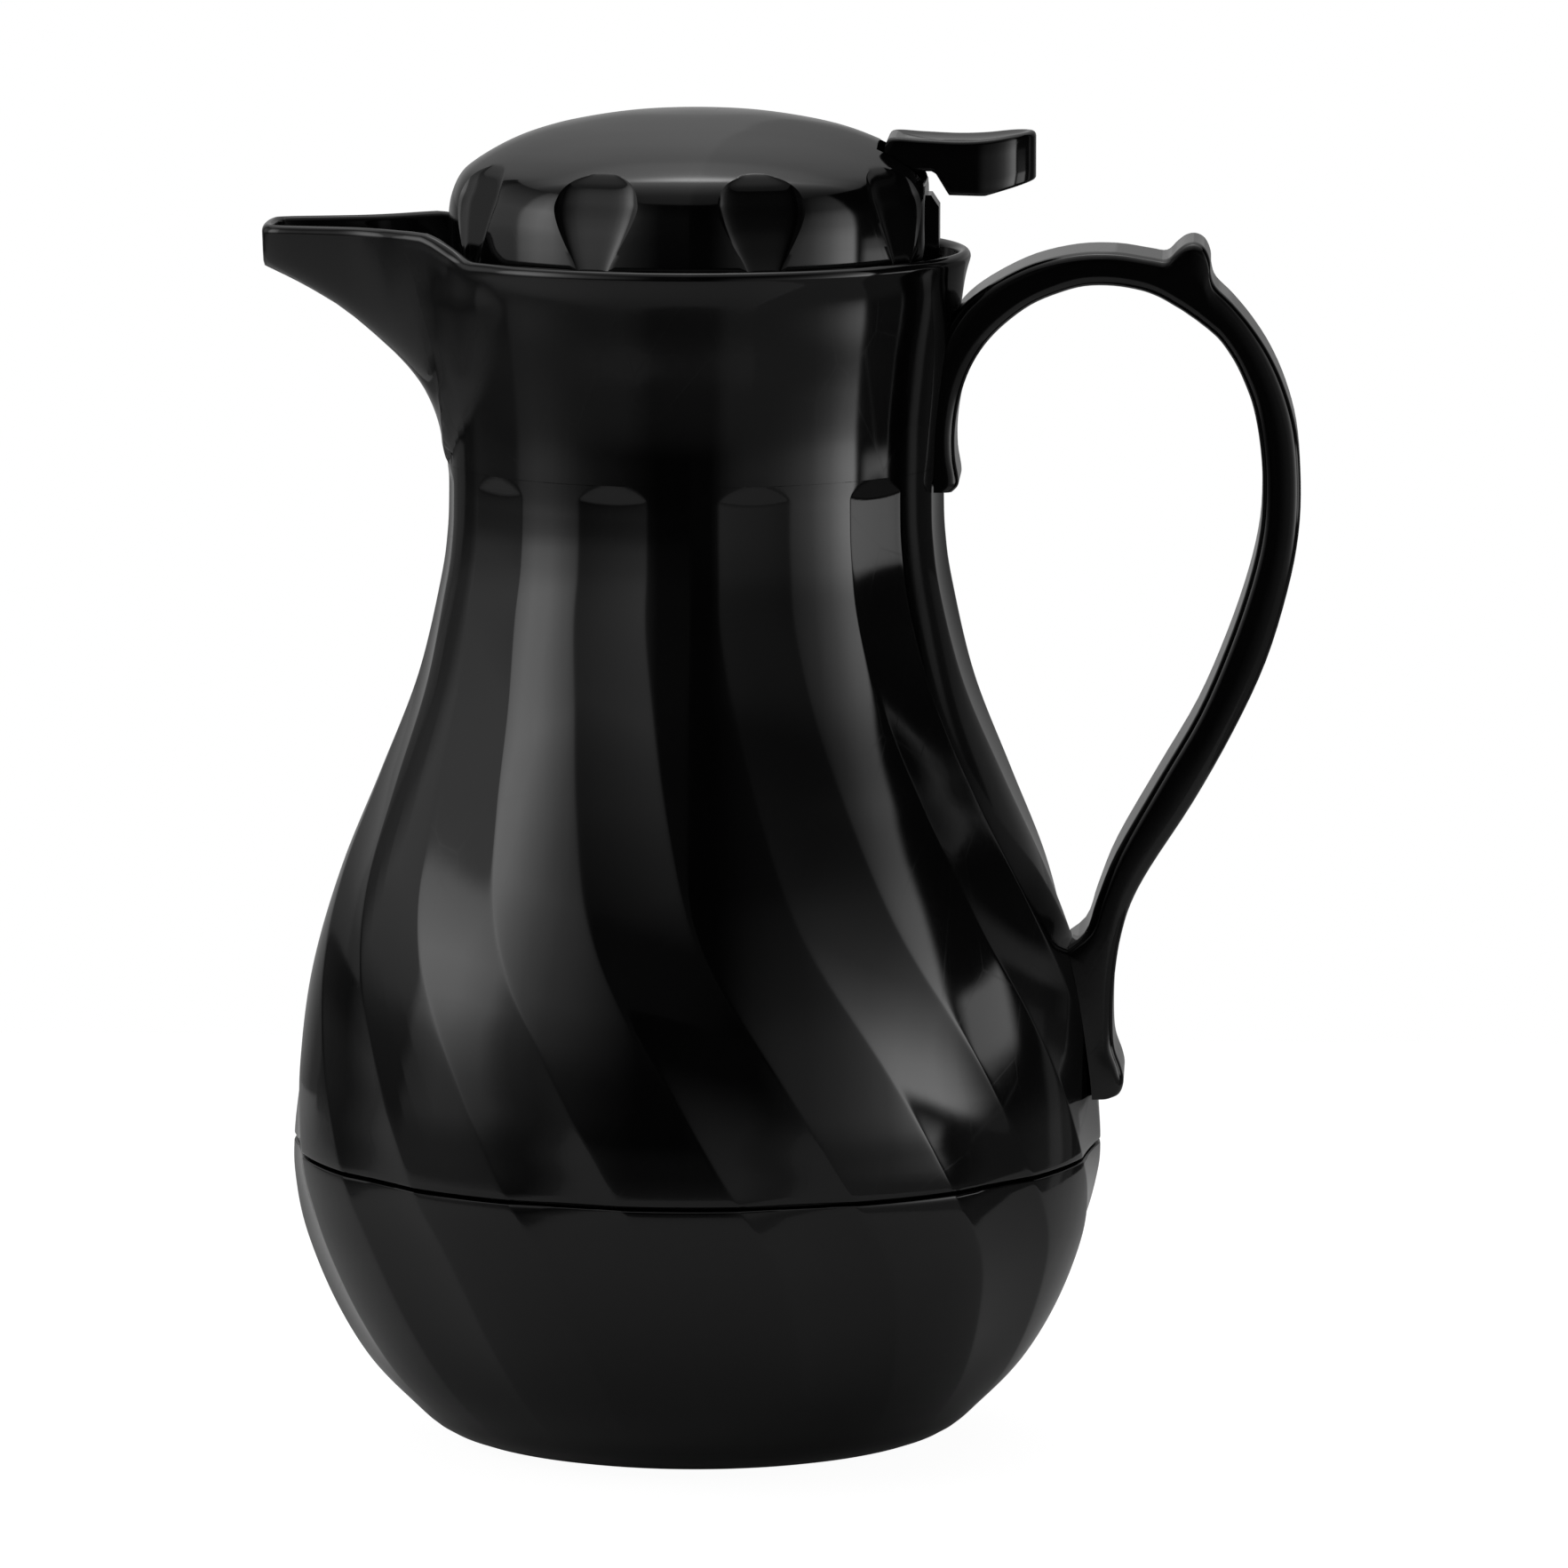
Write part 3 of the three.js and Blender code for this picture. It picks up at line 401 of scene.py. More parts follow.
def inset_ring(ring, inset):
    """The ring moved inwards along its own normals, kept free of loops at tight corners."""
    along = np.roll(ring, -1, 0) - np.roll(ring, 1, 0)
    normal = np.stack([along[:, 1], -along[:, 0]], axis=1)
    normal /= np.linalg.norm(normal, axis=1, keepdims=True)
    inset = np.broadcast_to(inset, (len(ring),))
    moved = ring[:, :2] - normal * inset[:, None]
    start_angle = np.degrees(np.arctan2(moved[:, 1], moved[:, 0]))
    start_reach = np.hypot(moved[:, 0], moved[:, 1])
    end_angle, end_reach = np.roll(start_angle, -1), np.roll(start_reach, -1)
    span = np.mod(end_angle - start_angle + 180, 360) - 180
    span = np.where(np.abs(span) < 1e-9, 1e-9, span)
    offset = np.mod(COLUMNS[:, None] - start_angle[None, :] + 180, 360) - 180
    share = offset / span[None, :]
    inside = (share >= -1e-6) & (share <= 1 + 1e-6)
    reach = mix(start_reach[None, :], end_reach[None, :], np.clip(share, 0, 1))
    reach = np.where(inside, reach, np.inf).min(axis=1)
    return polar(reach, COLUMNS, ring[:, 2])


def outer_shell():
    bottom = SEAM + SEAM_GROOVE / 2
    rows = [(bottom, 0.45), (bottom + 0.08, 0.2), (bottom + 0.25, 0.05), (bottom + 0.5, 0)]
    rings = [body_ring(z, inset) for z, inset in rows]
    heights = np.concatenate([np.linspace(64, 196, 74), np.linspace(197, 205.4, 22)[:-2], [204.5]])
    rings += [body_ring(z) for z in heights]
    rim = rim_height(COLUMNS)
    below_rim = 9.0
    for share in np.linspace(0.03, 1, 26):
        rings.append(collar_ring(mix(FLUTE_TOP, rim - below_rim, share)))
    bead = 1.5  # radius of the rolled edge
    beaded = smoothstep(np.abs(COLUMNS - 180), 20, 34)  # the rim swells beside the spout, not on it
    half_wall = WALL / 2
    for down in (8, 7, 6, 5.2, 4.5, 3.9, 3.4, 3, 2.6, 2.2, 1.8, 1.5):
        swell = RIM_SWELL * math.exp(-(((down - 1.5) / 1.5) ** 2))
        rings.append(inset_ring(collar_ring(rim - down), -swell * beaded))
    outer_inset = -RIM_SWELL * beaded
    across = np.linspace(0, math.pi, 13)[1:-1]
    middle, wide = half_wall + outer_inset / 2, half_wall - outer_inset / 2
    base_ring = collar_ring(rim - bead)
    for angle in across:
        ring = inset_ring(base_ring, middle - wide * math.cos(angle))
        ring[:, 2] = rim - bead + bead * math.sin(angle)
        rings.append(ring)
    for down in (1.5, 2.5, 4, 6, 8, 11, 15, 20, 26, 32):
        level = np.maximum(rim - down, FLUTE_TOP + 1.6)
        rings.append(inset_ring(collar_ring(level), WALL))
    for z in (FLUTE_TOP + 0.8, FLUTE_TOP - 0.5):
        rings.append(plain_ring(z, body_radius(z) - WALL))
    for z in (FLUTE_TOP - 1.5, 190, 180, 170, 160, 150, 140, 130, 120, 110, 100, 90, 80, 70, bottom):
        rings.append(plain_ring(z, body_radius(z) - FLUTED_WALL))
    return loft("jug_shell", rings)


def base_cup():
    top = SEAM - SEAM_GROOVE / 2
    heights = np.concatenate([[0.0, 0.25, 0.7, 1.3, 2, 2.8], np.linspace(4, top - 0.6, 44)])
    rings = [body_ring(z) for z in heights]
    rings += [body_ring(top - drop, inset) for drop, inset in [(0.25, 0.05), (0.08, 0.2), (0, 0.45)]]
    lap = [(79.9, top), (79.9, 66.9), (79.5, 67.5), (78.9, 67.5), (78.7, 67), (78.7, 60)]
    rings += [plain_ring(z, r) for r, z in lap]
    rings += [plain_ring(z, body_radius(z) - 3.4) for z in (54, 46, 37, 28, 18, 9)]
    floor = [(44, 5), (26, 5), (26, 2.6), (33.8, 2.6), (33.8, 0.35), (34.1, 0), (37, 0)]
    rings += [plain_ring(z, r) for r, z in floor]
    cup = loft("base_cup_shell", rings)
    bosses = [rod("boss", place, 3.5, 4.5, 8.5) for place in around(*BASE_SCREWS)]
    holes = [rod("hole", place, 1.8, 0.1, 9.1) for place in around(*BASE_SCREWS)]
    return cut(join(cup, *bosses), *holes)


# ---------- handle ----------
def handle():
    half, corner = HANDLE_WIDTH / 2, HANDLE_EDGE
    stations = spline(HANDLE_STATIONS, 4)
    arc = np.radians(np.linspace(0, 90, 7))
    rings = []
    for outer_x, outer_z, inner_x, inner_z in stations:
        thick = math.hypot(outer_x - inner_x, outer_z - inner_z)
        # one quarter of the rounded section: (distance from the outer face, distance across)
        quarter = [(0, (half - corner) * share) for share in (0, 0.5, 0.85)]
        quarter += [(corner * (1 - math.cos(a)), half - corner + corner * math.sin(a)) for a in arc]
        quarter = [(depth / thick, across) for depth, across in quarter]
        side = quarter + [(0.5, half)] + [(1 - depth, across) for depth, across in reversed(quarter)]
        section = side + [(depth, -across) for depth, across in reversed(side)][1:-1]
        rings.append([
            (mix(outer_x, inner_x, t), across, mix(outer_z, inner_z, t)) for t, across in section
        ])
    strap = loft("handle_strap", rings, False)
    wall = [(float(body_radius(z)) + 0.04, z) for z in np.linspace(20, 252, 90)]
    jug = lathe("jug_cutter", [(0, 20), *wall, (0, 252)], 256, 0)
    strap = cut(strap, jug)
    tongue = brick("tongue", (46.2, -6, 200.2), (53, 6, 203.6))
    hook = brick("hook", (46.2, -5.9, 196.6), (47.5, 5.9, 203.5))
    return join(strap, tongue, hook)


# ---------- lid ----------
scallop_curve = spline(SCALLOP_HALVES, 6)
scallop_depths = spline(SCALLOP_DEPTHS, 6)


def scallop_half(z):
    return np.interp(z, scallop_curve[:, 0], scallop_curve[:, 1], right=0)


def lid_columns(z):
    """Angles of the lid's columns, which follow the edges of the scallops."""
    half = max(float(scallop_half(z)), 2.5)
    side = [0.16, 0.32, 0.48, 0.62, 0.75, 0.85, 0.92, 0.97, 1]
    dimple = np.array([*(-share for share in reversed(side)), 0, *side]) * half
    middles = [*SCALLOPS, *(360 - angle for angle in reversed(SCALLOPS))]
    lobe = np.array([0.04, 0.1, 0.2, 0.35, 0.5, 0.65, 0.8, 0.9, 0.96])
    columns = []
    for i, middle in enumerate(middles):
        following = middles[i + 1] if i + 1 < len(middles) else middles[0] + 360
        columns += [middle + dimple, middle + half + lobe * (following - middle - 2 * half)]
    return np.concatenate(columns)


def scallop_depth(column, z):
    turned = np.abs(np.mod(column + 180, 360) - 180)
    off = np.abs(turned[:, None] - np.array(SCALLOPS)[None, :]).min(axis=1)
    half = float(scallop_half(z)) + 1e-6
    share = np.minimum(off / half, 5)
    chord = 50 * (1 - math.cos(math.radians(half))) * np.maximum(1 - share**2, 0)
    depth = np.interp(z, scallop_depths[:, 0], scallop_depths[:, 1], right=0)
    return chord + depth * soft_positive(1 - share**6, 0.06)


def lid_cover():
    outline = spline(LID_OUTLINE, 9)
    rings = []
    for r, z in outline[2:]:
        columns = lid_columns(z)
        reach = r - scallop_depth(columns, z)
        facing = np.cos(np.radians(columns))
        flat = np.where(facing > 0.85, LID_FLAT / np.maximum(facing, 0.1), 1e3)
        reach = np.where(facing > 0.85, soft_min(reach, np.minimum(flat, 60), 0.25), reach)
        rings.append(polar(reach, columns, z))
    rings[-1][:, 2] = LID_BOTTOM + 0.3
    columns = lid_columns(LID_BOTTOM)
    shrink = rings[-1].copy()
    shrink[:, :2] *= (1 - 0.3 / 51)
    shrink[:, 2] = LID_BOTTOM
    rings.append(shrink)
    inside = [
        (47, 246), (46.6, 246.4), (46.6, 259), (45.6, 262), (43.6, 265), (38, 268.2), (26, 272.1),
        (13, 274.4), (0.4, 275.6),
    ]
    rings += [polar(r, columns, z) for r, z in inside]
    cover = loft("lid_dome", rings, False, 28)
    bosses = [rod("boss", place, 3.8, 248, 268) for place in around(*LID_SCREWS)]
    rib_outline = [(47, 246.6), (50.4, 246.6), (50.4, 257.8), (48.8, 260.2), (47, 260.2)]
    rib = prism("rib", rib_outline, -5.5, 5.5, bevel=0.4)
    cover = join(cover, rib, *bosses, sharp=28)
    holes = [rod("hole", place, 1.8, 243, 257) for place in around(*LID_SCREWS)]
    half = LEVER_HALF + 1.1
    slot = prism("slot", [(37.8, 285), (37.8, 266.8), (41, 262.6), (56, 262.6), (56, 285)], -half, half)
    return cut(cover, slot, *holes, sharp=28)


# ---------- lever ----------
# Side view of the paddle, (distance from the axis, height)
LEVER_TOP = [
    (39.2, 271.2), (41, 272.5), (47, 272.2), (54, 271.9), (60, 272.1), (66, 272.9), (71, 273.4),
    (76, 273.6),
]
LEVER_UNDER = [
    (30, 260.2), (36, 260.4), (38.6, 261), (43.6, 265.6), (49.6, 265.6), (52.6, 260.7), (59.9, 260.5),
    (71, 263.5), (80, 265.5),
]
# The thumb hollow in the paddle's top, (inset from its edge, drop)
LEVER_DISH = [
    (1.6, 0.03), (2.1, 0.14), (2.7, 0.32), (3.4, 0.47), (4.5, 0.58), (6.5, 0.7), (9, 0.78), (11.3, 0.8),
]


def lever_loop(inset):
    """Plan of the paddle, moved inwards: straight sides and a rounded end."""
    half = LEVER_HALF - inset
    root, bend, end = 39.4 + inset, LEVER_BEND, LEVER_END - inset
    side = np.linspace(root, bend, 40)
    turn = np.radians(np.linspace(-90, 90, 49)[1:-1])
    return np.concatenate([
        np.stack([side, np.full(40, -half)], axis=1),
        np.stack([bend + (end - bend) * np.cos(turn), half * np.sin(turn)], axis=1),
        np.stack([side[::-1], np.full(40, half)], axis=1),
        np.stack([np.full(9, root), np.linspace(half, -half, 11)[1:-1]], axis=1),
    ])


def pour_lever():
    top_curve = spline(LEVER_TOP)
    under = np.asarray(LEVER_UNDER, float)

    def top(x):
        return np.interp(x, top_curve[:, 0], top_curve[:, 1])

    def bottom(x):
        return np.interp(x, under[:, 0], under[:, 1])

    rings = []

    def add(inset, height):
        plan = lever_loop(inset)
        rings.append(np.stack([plan[:, 0], plan[:, 1], height(plan[:, 0])], axis=1))

    for inset in (11.3, 8, 5, 2.5):
        add(inset, bottom)
    for angle in np.radians([90, 60, 30, 0]):
        add(0.6 - 0.6 * math.cos(angle), lambda x, a=angle: bottom(x) + 0.6 - 0.6 * math.sin(a))
    for share in (0.25, 0.5, 0.75):
        add(0, lambda x, s=share: mix(bottom(x) + 0.6, top(x) - 1, s))
    for angle in np.radians([0, 22, 45, 67, 90]):
        add(1.1 - 1.1 * math.cos(angle), lambda x, a=angle: top(x) - 1.1 + 1.1 * math.sin(a))
    for inset, drop in LEVER_DISH:
        add(inset, lambda x, d=drop: top(x) - d * smoothstep(x, 39, 43))
    paddle = loft("lever_paddle", rings, False, 40)
    hub = rod("hub", PIVOT, 4, -LEVER_HALF, LEVER_HALF, "Y")
    inner_outline = [(-6.4, 261.4), (30, 261.4), (34, 260.4), (34, 266), (30, 265.2), (-6.4, 265.2)]
    inner = prism("inner", inner_outline, -6.5, 6.5, bevel=0.3)
    root_outline = [(34, 260.2), (40.4, 261.9), (40.4, 270.2), (39.5, 268.4), (37.3, 266.2), (34, 266.2)]
    root = prism("root", root_outline, -LEVER_HALF + 0.3, LEVER_HALF - 0.3)
    lever = join(paddle, hub, inner, root)
    plan = [
        (53.8, -8.8), (62, -8.8), (65.4, -6.4), (67, -2.6), (67, 2.6), (65.4, 6.4), (62, 8.8), (53.8, 8.8),
    ]
    hollow = prism("hollow", plan, 258, 269.4, "Z")
    pin_hole = rod("pin_hole", PIVOT, PIN_HOLE, -20, 20, "Y")
    stem_slot = brick("stem_slot", (-3.8, -3.2, 255), (3.8, 3.2, 270))
    return cut(lever, hollow, pin_hole, stem_slot)


# ---------- neck, stopper, liner and seals ----------
def ridge(name, inner_radius, outer_radius, start_angle, start_height):
    """Helical rib of the coarse lid thread."""
    rings = []
    for share in np.linspace(0, 1, 25):
        end = min(share, 1 - share) * THREAD_SWEEP
        half = 1.5 * (0.6 + 0.4 * min(end / 6, 1))
        slim = half * 0.6
        corners = [
            (inner_radius, -half), (outer_radius, -slim), (outer_radius, slim), (inner_radius, half),
        ]
        angle = start_angle + THREAD_SWEEP * share
        height = start_height + THREAD_LEAD * THREAD_SWEEP * share / 360
        rings.append([polar(r, angle, height + rise) for r, rise in corners])
    return loft(name, rings, False)


def neck_insert():
    ring = lathe("neck_ring", [
        (28, 189), (37.4, 189), (37.4, 197), (44.5, 197), (44.5, 206.7), (48.5, 206.7), (48.5, 210.4),
        (48, 211), (35.4, 211), (BORE_RADIUS, 209.4), (BORE_RADIUS, 191.5), (28, 191.5),
    ])
    ribs = [ridge("rib", BORE_RADIUS + 0.5, STOPPER_RADIUS + 0.6, 40 + i * 120, 200.2) for i in range(3)]
    return join(ring, *ribs)


def stopper():
    cup = lathe("stopper_cup", [
        (9, 192.2), (27.6, 192.2), (27.6, 194.6), (STOPPER_RADIUS, 194.6), (STOPPER_RADIUS, 240.5),
        (45.6, 244.8), (46.2, 245.4), (46.2, 247.6), (28.7, 247.6), (28.7, 197), (11, 197), (11, 198),
        (9, 198),
    ])
    lugs = [ridge("lug", STOPPER_RADIUS - 0.5, BORE_RADIUS - 0.6, 40 + i * 120, 196.6) for i in range(3)]
    ear = [
        (28.8, 247), (39.4, 247), (38.2, 263.5), (37.2, 266.4), (34, 267.6), (30.8, 266.4), (29.8, 263.5),
    ]
    ears = [prism("ear", ear, middle - 1.4, middle + 1.4) for middle in (-14.8, 14.8)]
    body = join(cup, *lugs, *ears)
    windows = []
    for angle in (30, 90, 150):
        window = prism("window", spline_window(), -36, 36)
        window.data.transform(Matrix.Rotation(math.radians(angle + 90), 4, "Z"))
        windows.append(window)
    pin_hole = rod("pin_hole", PIVOT, PIN_HOLE, -20, 20, "Y")
    screws = [rod("hole", place, 2, 242, 250) for place in around(*LID_SCREWS)]
    return cut(body, *windows, pin_hole, *screws)


def spline_window():
    """Outline of a pouring window, with rounded corners."""
    corners = [(-6.5, 213), (6.5, 213), (6.5, 227), (-6.5, 227)]
    return rounded([(x + 50, z) for x, z in corners], 1.5, 5) - np.array([50, 0])


def screw(name, node, body, shaft_radius, length, head_radius, head_height, place, base, tilt=None):
    """Pan-head screw with a cross recess, pointing up from its head."""
    piece = lathe(name, [
        (0, -head_height), (head_radius * 0.62, -head_height), (head_radius * 0.92, -head_height * 0.5),
        (head_radius, 0), (shaft_radius, 0), (shaft_radius, length * 0.85), (0, length),
    ], 48, 0.2)
    arm, slim, deep = head_radius * 0.55, head_radius * 0.13, head_height * 0.55
    recess = [
        brick("recess", (-arm, -slim, -head_height - 1), (arm, slim, -head_height + deep)),
        brick("recess", (-slim, -arm, -head_height - 1), (slim, arm, -head_height + deep)),
    ]
    cut(piece, *recess)
    if tilt:
        piece.data.transform(tilt)
    piece.data.transform(Matrix.Translation(Vector((*place, base)) * MM))
    place_piece(piece, body, "fastener_steel", node)


def place_piece(piece, body, slot, node):
    """Gives a piece the material of its slot and the body it rides on, and hides the CAD node it replaces.
    """
    piece.data.materials.clear()
    piece.data.materials.append(MATERIALS[slot])
    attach(piece, body)
    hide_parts(node)


# ---------- materials ----------
def set_inputs(tree, node, **values):
    """Sets inputs, named with _ for a space, to a value or to the output of another node."""
    for name, value in values.items():
        socket = node.inputs[name.replace("_", " ")]
        if isinstance(value, bpy.types.NodeSocket):
            tree.links.new(value, socket)
        else:
            socket.default_value = value


def add_node(tree, kind, **values):
    made = tree.nodes.new("ShaderNode" + kind)
    set_inputs(tree, made, **values)
    return made


def new_material(name):
    made = bpy.data.materials.new(name)
    made.use_nodes = True
    return made, made.node_tree, made.node_tree.nodes["Principled BSDF"]


def number(tree, operation, *values):
    """Math node; a value is a number or an output."""
    made = add_node(tree, "Math")
    made.operation = operation
    for socket, value in zip(made.inputs, values):
        if isinstance(value, (int, float)):
            socket.default_value = value
        else:
            tree.links.new(value, socket)
    return made.outputs["Value"]


def noise(tree, place, scale, detail=2.0, roughness=0.5):
    made = add_node(tree, "TexNoise", Vector=place, Scale=scale, Detail=detail, Roughness=roughness)
    return made.outputs["Fac"]


def spread(tree, value, low, high, from_low=0.3, from_high=0.7):
    """The value, taken linearly from one range to another."""
    ends = {"From_Min": from_low, "From_Max": from_high, "To_Min": low, "To_Max": high}
    return add_node(tree, "MapRange", Value=value, **ends).outputs["Result"]


def stretched(tree, scale, turn=(0, 0, 0)):
    place = add_node(tree, "TexCoord").outputs["Object"]
    return add_node(tree, "Mapping", Vector=place, Scale=scale, Rotation=turn).outputs["Vector"]


def add_bump(tree, shader, layers):
    """Stacks bumps: each layer is (height output, strength, distance in metres)."""
    below = {}
    for height, strength, distance in layers:
        bump = add_node(tree, "Bump", Height=height, Strength=strength, Distance=distance, **below)
        below = {"Normal": bump.outputs["Normal"]}
    set_inputs(tree, shader, **below)


def colour_between(tree, value, dark, light):
    ramp = add_node(tree, "ValToRGB", Fac=value)
    for element, position, colour in zip(ramp.color_ramp.elements, (0.3, 0.7), (dark, light)):
        element.position = position
        element.color = (*colour, 1)
    return ramp.outputs["Color"]


def scratches(tree, scale, turn, width):
    """Sparse hairlines: 1 on a line and 0 elsewhere."""
    cells = add_node(tree, "TexVoronoi", Vector=stretched(tree, scale, turn), Scale=1.0)
    cells.feature = "DISTANCE_TO_EDGE"
    return spread(tree, cells.outputs["Distance"], 1, 0, 0, width)


def gloss_plastic():
    made, tree, shader = new_material("gloss_black_plastic")
    where = stretched(tree, (1, 1, 1))
    cloud = noise(tree, where, 22, 3)
    haze = spread(tree, noise(tree, where, 60, 4, 0.6), 0.055, 0.105)
    lines = scratches(tree, (90, 14, 35), (0.4, 0.2, 0.9), 0.012)
    colour = colour_between(tree, cloud, (0.0012, 0.0012, 0.0013), (0.0022, 0.0022, 0.0023))
    rough = number(tree, "MULTIPLY_ADD", lines, 0.05, haze)
    set_inputs(tree, shader, Base_Color=colour, Roughness=rough, IOR=1.52)
    peel = noise(tree, where, 240, 1)
    sink = noise(tree, where, 38, 1)
    add_bump(tree, shader, [(peel, 0.35, 0.00001), (sink, 0.5, 0.00008)])
    return made


def satin_plastic():
    made, tree, shader = new_material("satin_black_plastic")
    where = stretched(tree, (1, 1, 1))
    colour = colour_between(tree, noise(tree, where, 40), (0.012, 0.012, 0.0125), (0.02, 0.02, 0.021))
    rough = spread(tree, noise(tree, where, 120, 3), 0.28, 0.4)
    set_inputs(tree, shader, Base_Color=colour, Roughness=rough)
    add_bump(tree, shader, [(noise(tree, where, 1400, 2), 0.4, 0.00003)])
    return made


def steel(name, lines, colour, low, high):
    """Drawn steel: scale of its grain along each axis, colour, and least and most roughness."""
    made, tree, shader = new_material(name)
    grain = noise(tree, stretched(tree, lines), 1, 5, 0.65)
    shade = colour_between(tree, grain, tuple(c * 0.86 for c in colour), colour)
    rough = spread(tree, grain, low, high)
    set_inputs(tree, shader, Base_Color=shade, Roughness=rough, Metallic=1.0)
    add_bump(tree, shader, [(grain, 0.25, 0.00004)])
    return made


def silicone():
    made, tree, shader = new_material("grey_silicone")
    where = stretched(tree, (1, 1, 1))
    colour = colour_between(tree, noise(tree, where, 90, 3), (0.33, 0.34, 0.34), (0.41, 0.42, 0.42))
    rough = spread(tree, noise(tree, where, 300, 2), 0.5, 0.68)
    set_inputs(tree, shader, Base_Color=colour, Roughness=rough)
    set_inputs(tree, shader, Subsurface_Weight=0.08, Subsurface_Radius=(0.002, 0.002, 0.002))
    add_bump(tree, shader, [(noise(tree, where, 900, 2), 0.3, 0.00005)])
    return made


def bead_foam():
    made, tree, shader = new_material("bead_foam")
    cells = add_node(tree, "TexVoronoi", Vector=stretched(tree, (1, 1, 1)), Scale=420)
    beads = cells.outputs["Distance"]
    colour = colour_between(tree, beads, (0.86, 0.85, 0.81), (0.74, 0.73, 0.69))
    set_inputs(tree, shader, Base_Color=colour, Roughness=0.85)
    add_bump(tree, shader, [(beads, 0.6, 0.0003)])
    return made


MATERIALS = {
    "body_plastic": gloss_plastic(),
    "stopper_plastic": satin_plastic(),
    "liner_steel": steel("liner_steel", (8, 8, 900), (0.6, 0.6, 0.59), 0.16, 0.3),
    "fastener_steel": steel("fastener_steel", (260, 260, 260), (0.62, 0.62, 0.61), 0.2, 0.34),
    "seal_rubber": silicone(),
    "foam": bead_foam(),
}

# ---------- pieces ----------
place_piece(outer_shell(), "jug", "body_plastic", "outer_shell")
place_piece(base_cup(), "jug", "body_plastic", "base_cup")
place_piece(handle(), "jug", "body_plastic", "handle")
place_piece(lid_cover(), "lid", "body_plastic", "lid_cover")
place_piece(pour_lever(), "lever", "body_plastic", "pour_lever")
place_piece(neck_insert(), "jug", "stopper_plastic", "neck_insert")
place_piece(stopper(), "lid", "stopper_plastic", "stopper_body")

liner_outside = spline([
    (38, 10), (57, 17), (70.6, 37), (77.2, 60), (75.2, 86), (66, 120), (50.2, 160), (43.6, 190),
    (43.6, 193.6),
], 6)
liner_skin = [(0, 10), *map(tuple, liner_outside)]
skin_inside = [(max(r - 1, 0), z + (1 if z < 20 else 0)) for r, z in reversed(liner_skin)]
outer_skin = lathe("liner_outer_skin", liner_skin + skin_inside, 96, 0)
place_piece(outer_skin, "jug", "liner_steel", "liner_outer_wall")
cavity = spline([
    (34, 16), (50.6, 22), (63.8, 40), (70, 62), (68, 86), (59, 120), (43.8, 160), (39.2, 190),
], 6)
cavity_skin = [(0, 16), *map(tuple, cavity)]
mouth = [(40.2, 193.9), (43.6, 193.9), (43.6, 194.6), (39.6, 194.6)]
cavity_in = [(max(r - 1.1, 0), z + (1.2 if z < 20 else 0)) for r, z in reversed(cavity_skin)]
inner_skin = lathe("liner_inner_skin", cavity_skin + mouth + cavity_in, 128, 0)
place_piece(inner_skin, "jug", "liner_steel", "liner_inner_wall")

cap = lathe("base_plate", [
    (0, 0.5), (12, 0.5), (12.6, 0), (13.8, 0), (14.4, 0.5), (22, 0.5), (22.6, 0), (32.4, 0), (33.1, 0.7),
    (33.1, 2.2), (0, 2.2),
], 128, 0.2)
sinks = [rod("sink", place, 3.2, -1.3, 1.7) for place in around(*BASE_SCREWS)]
sinks += [rod("sink", place, 1.8, -1, 5) for place in around(*BASE_SCREWS)]
place_piece(cut(cap, *sinks), "jug", "body_plastic", "base_cap")
for index, spot in enumerate(around(*BASE_SCREWS), 1):
    screw(f"base_plate_screw_{index}", f"base_screw_{index}", "jug", 1.4, 6.4, 2.8, 1.1, spot, 1.2)
for index, spot in enumerate(around(*LID_SCREWS), 1):
    screw(f"lid_dome_screw_{index}", f"lid_screw_{index}", "lid", 1.5, 11, 3.2, 1.6, spot, 241.6)
turned = Matrix.Rotation(math.pi / 2, 4, "Y")
screw_head = float(body_radius(99)) - FLUTED_WALL - 1.3
screw("strap_screw", "handle_screw", "jug", 1.4, 10, 3.4, 1.4, (screw_head, 0), 99, turned)

seal = lathe("stopper_ring_seal", [
    (27.9, 191.8), (30.4, 191.8), (31, 192.8), (30.6, 194.3), (27.9, 194.3),
])
place_piece(seal, "seal_ring", "seal_rubber", "stopper_seal")
washer = lathe("valve_disc", [(2.3, 198.3), (12, 198.3), (12.4, 199.3), (12, 200.3), (2.3, 200.3)], 96)
place_piece(washer, "valve", "seal_rubber", "valve_washer")
guide = lathe("stem_guide_disc", [
    (3, 229.6), (28.3, 229.6), (28.3, 232), (6, 232), (5.4, 244.5), (3, 244.5),
])
place_piece(guide, "lid", "stopper_plastic", "stem_guide")
stem = lathe("valve_rod", [
    (0, 196), (1.6, 196), (2, 196.6), (2, 200.6), (11, 200.6), (11, 202.2), (6, 202.7), (2.4, 203.4),
    (2.4, 265.2), (1.4, 265.2), (1.4, 268.4), (0, 268.4),
], 64, 0.2)
place_piece(stem, "valve", "stopper_plastic", "valve_stem")
button = lathe("stem_button", [
    (1.7, 267.1), (2.7, 265.5), (5, 265.5), (5, 267.2), (4.2, 268.2), (1.7, 268.2),
], 64, 0.2)
place_piece(button, "valve", "fastener_steel", "stem_cap")
plug = lathe("foam_plug", [(6.6, 232.5), (28, 232.5), (28, 246), (6.6, 246)], 96, 0.8)
place_piece(plug, "lid", "foam", "insulation_plug")
gasket = lathe("mouth_gasket", [(39, 195), (43.4, 195), (43.8, 195.8), (43.4, 196.7), (39, 196.7)])
place_piece(gasket, "jug", "seal_rubber", "liner_gasket")
cushion = lathe("liner_rest", [
    (0, 2.5), (24.5, 2.5), (25.4, 3.4), (25.4, 9.7), (12, 9.7), (12, 7.5), (0, 7.5),
])
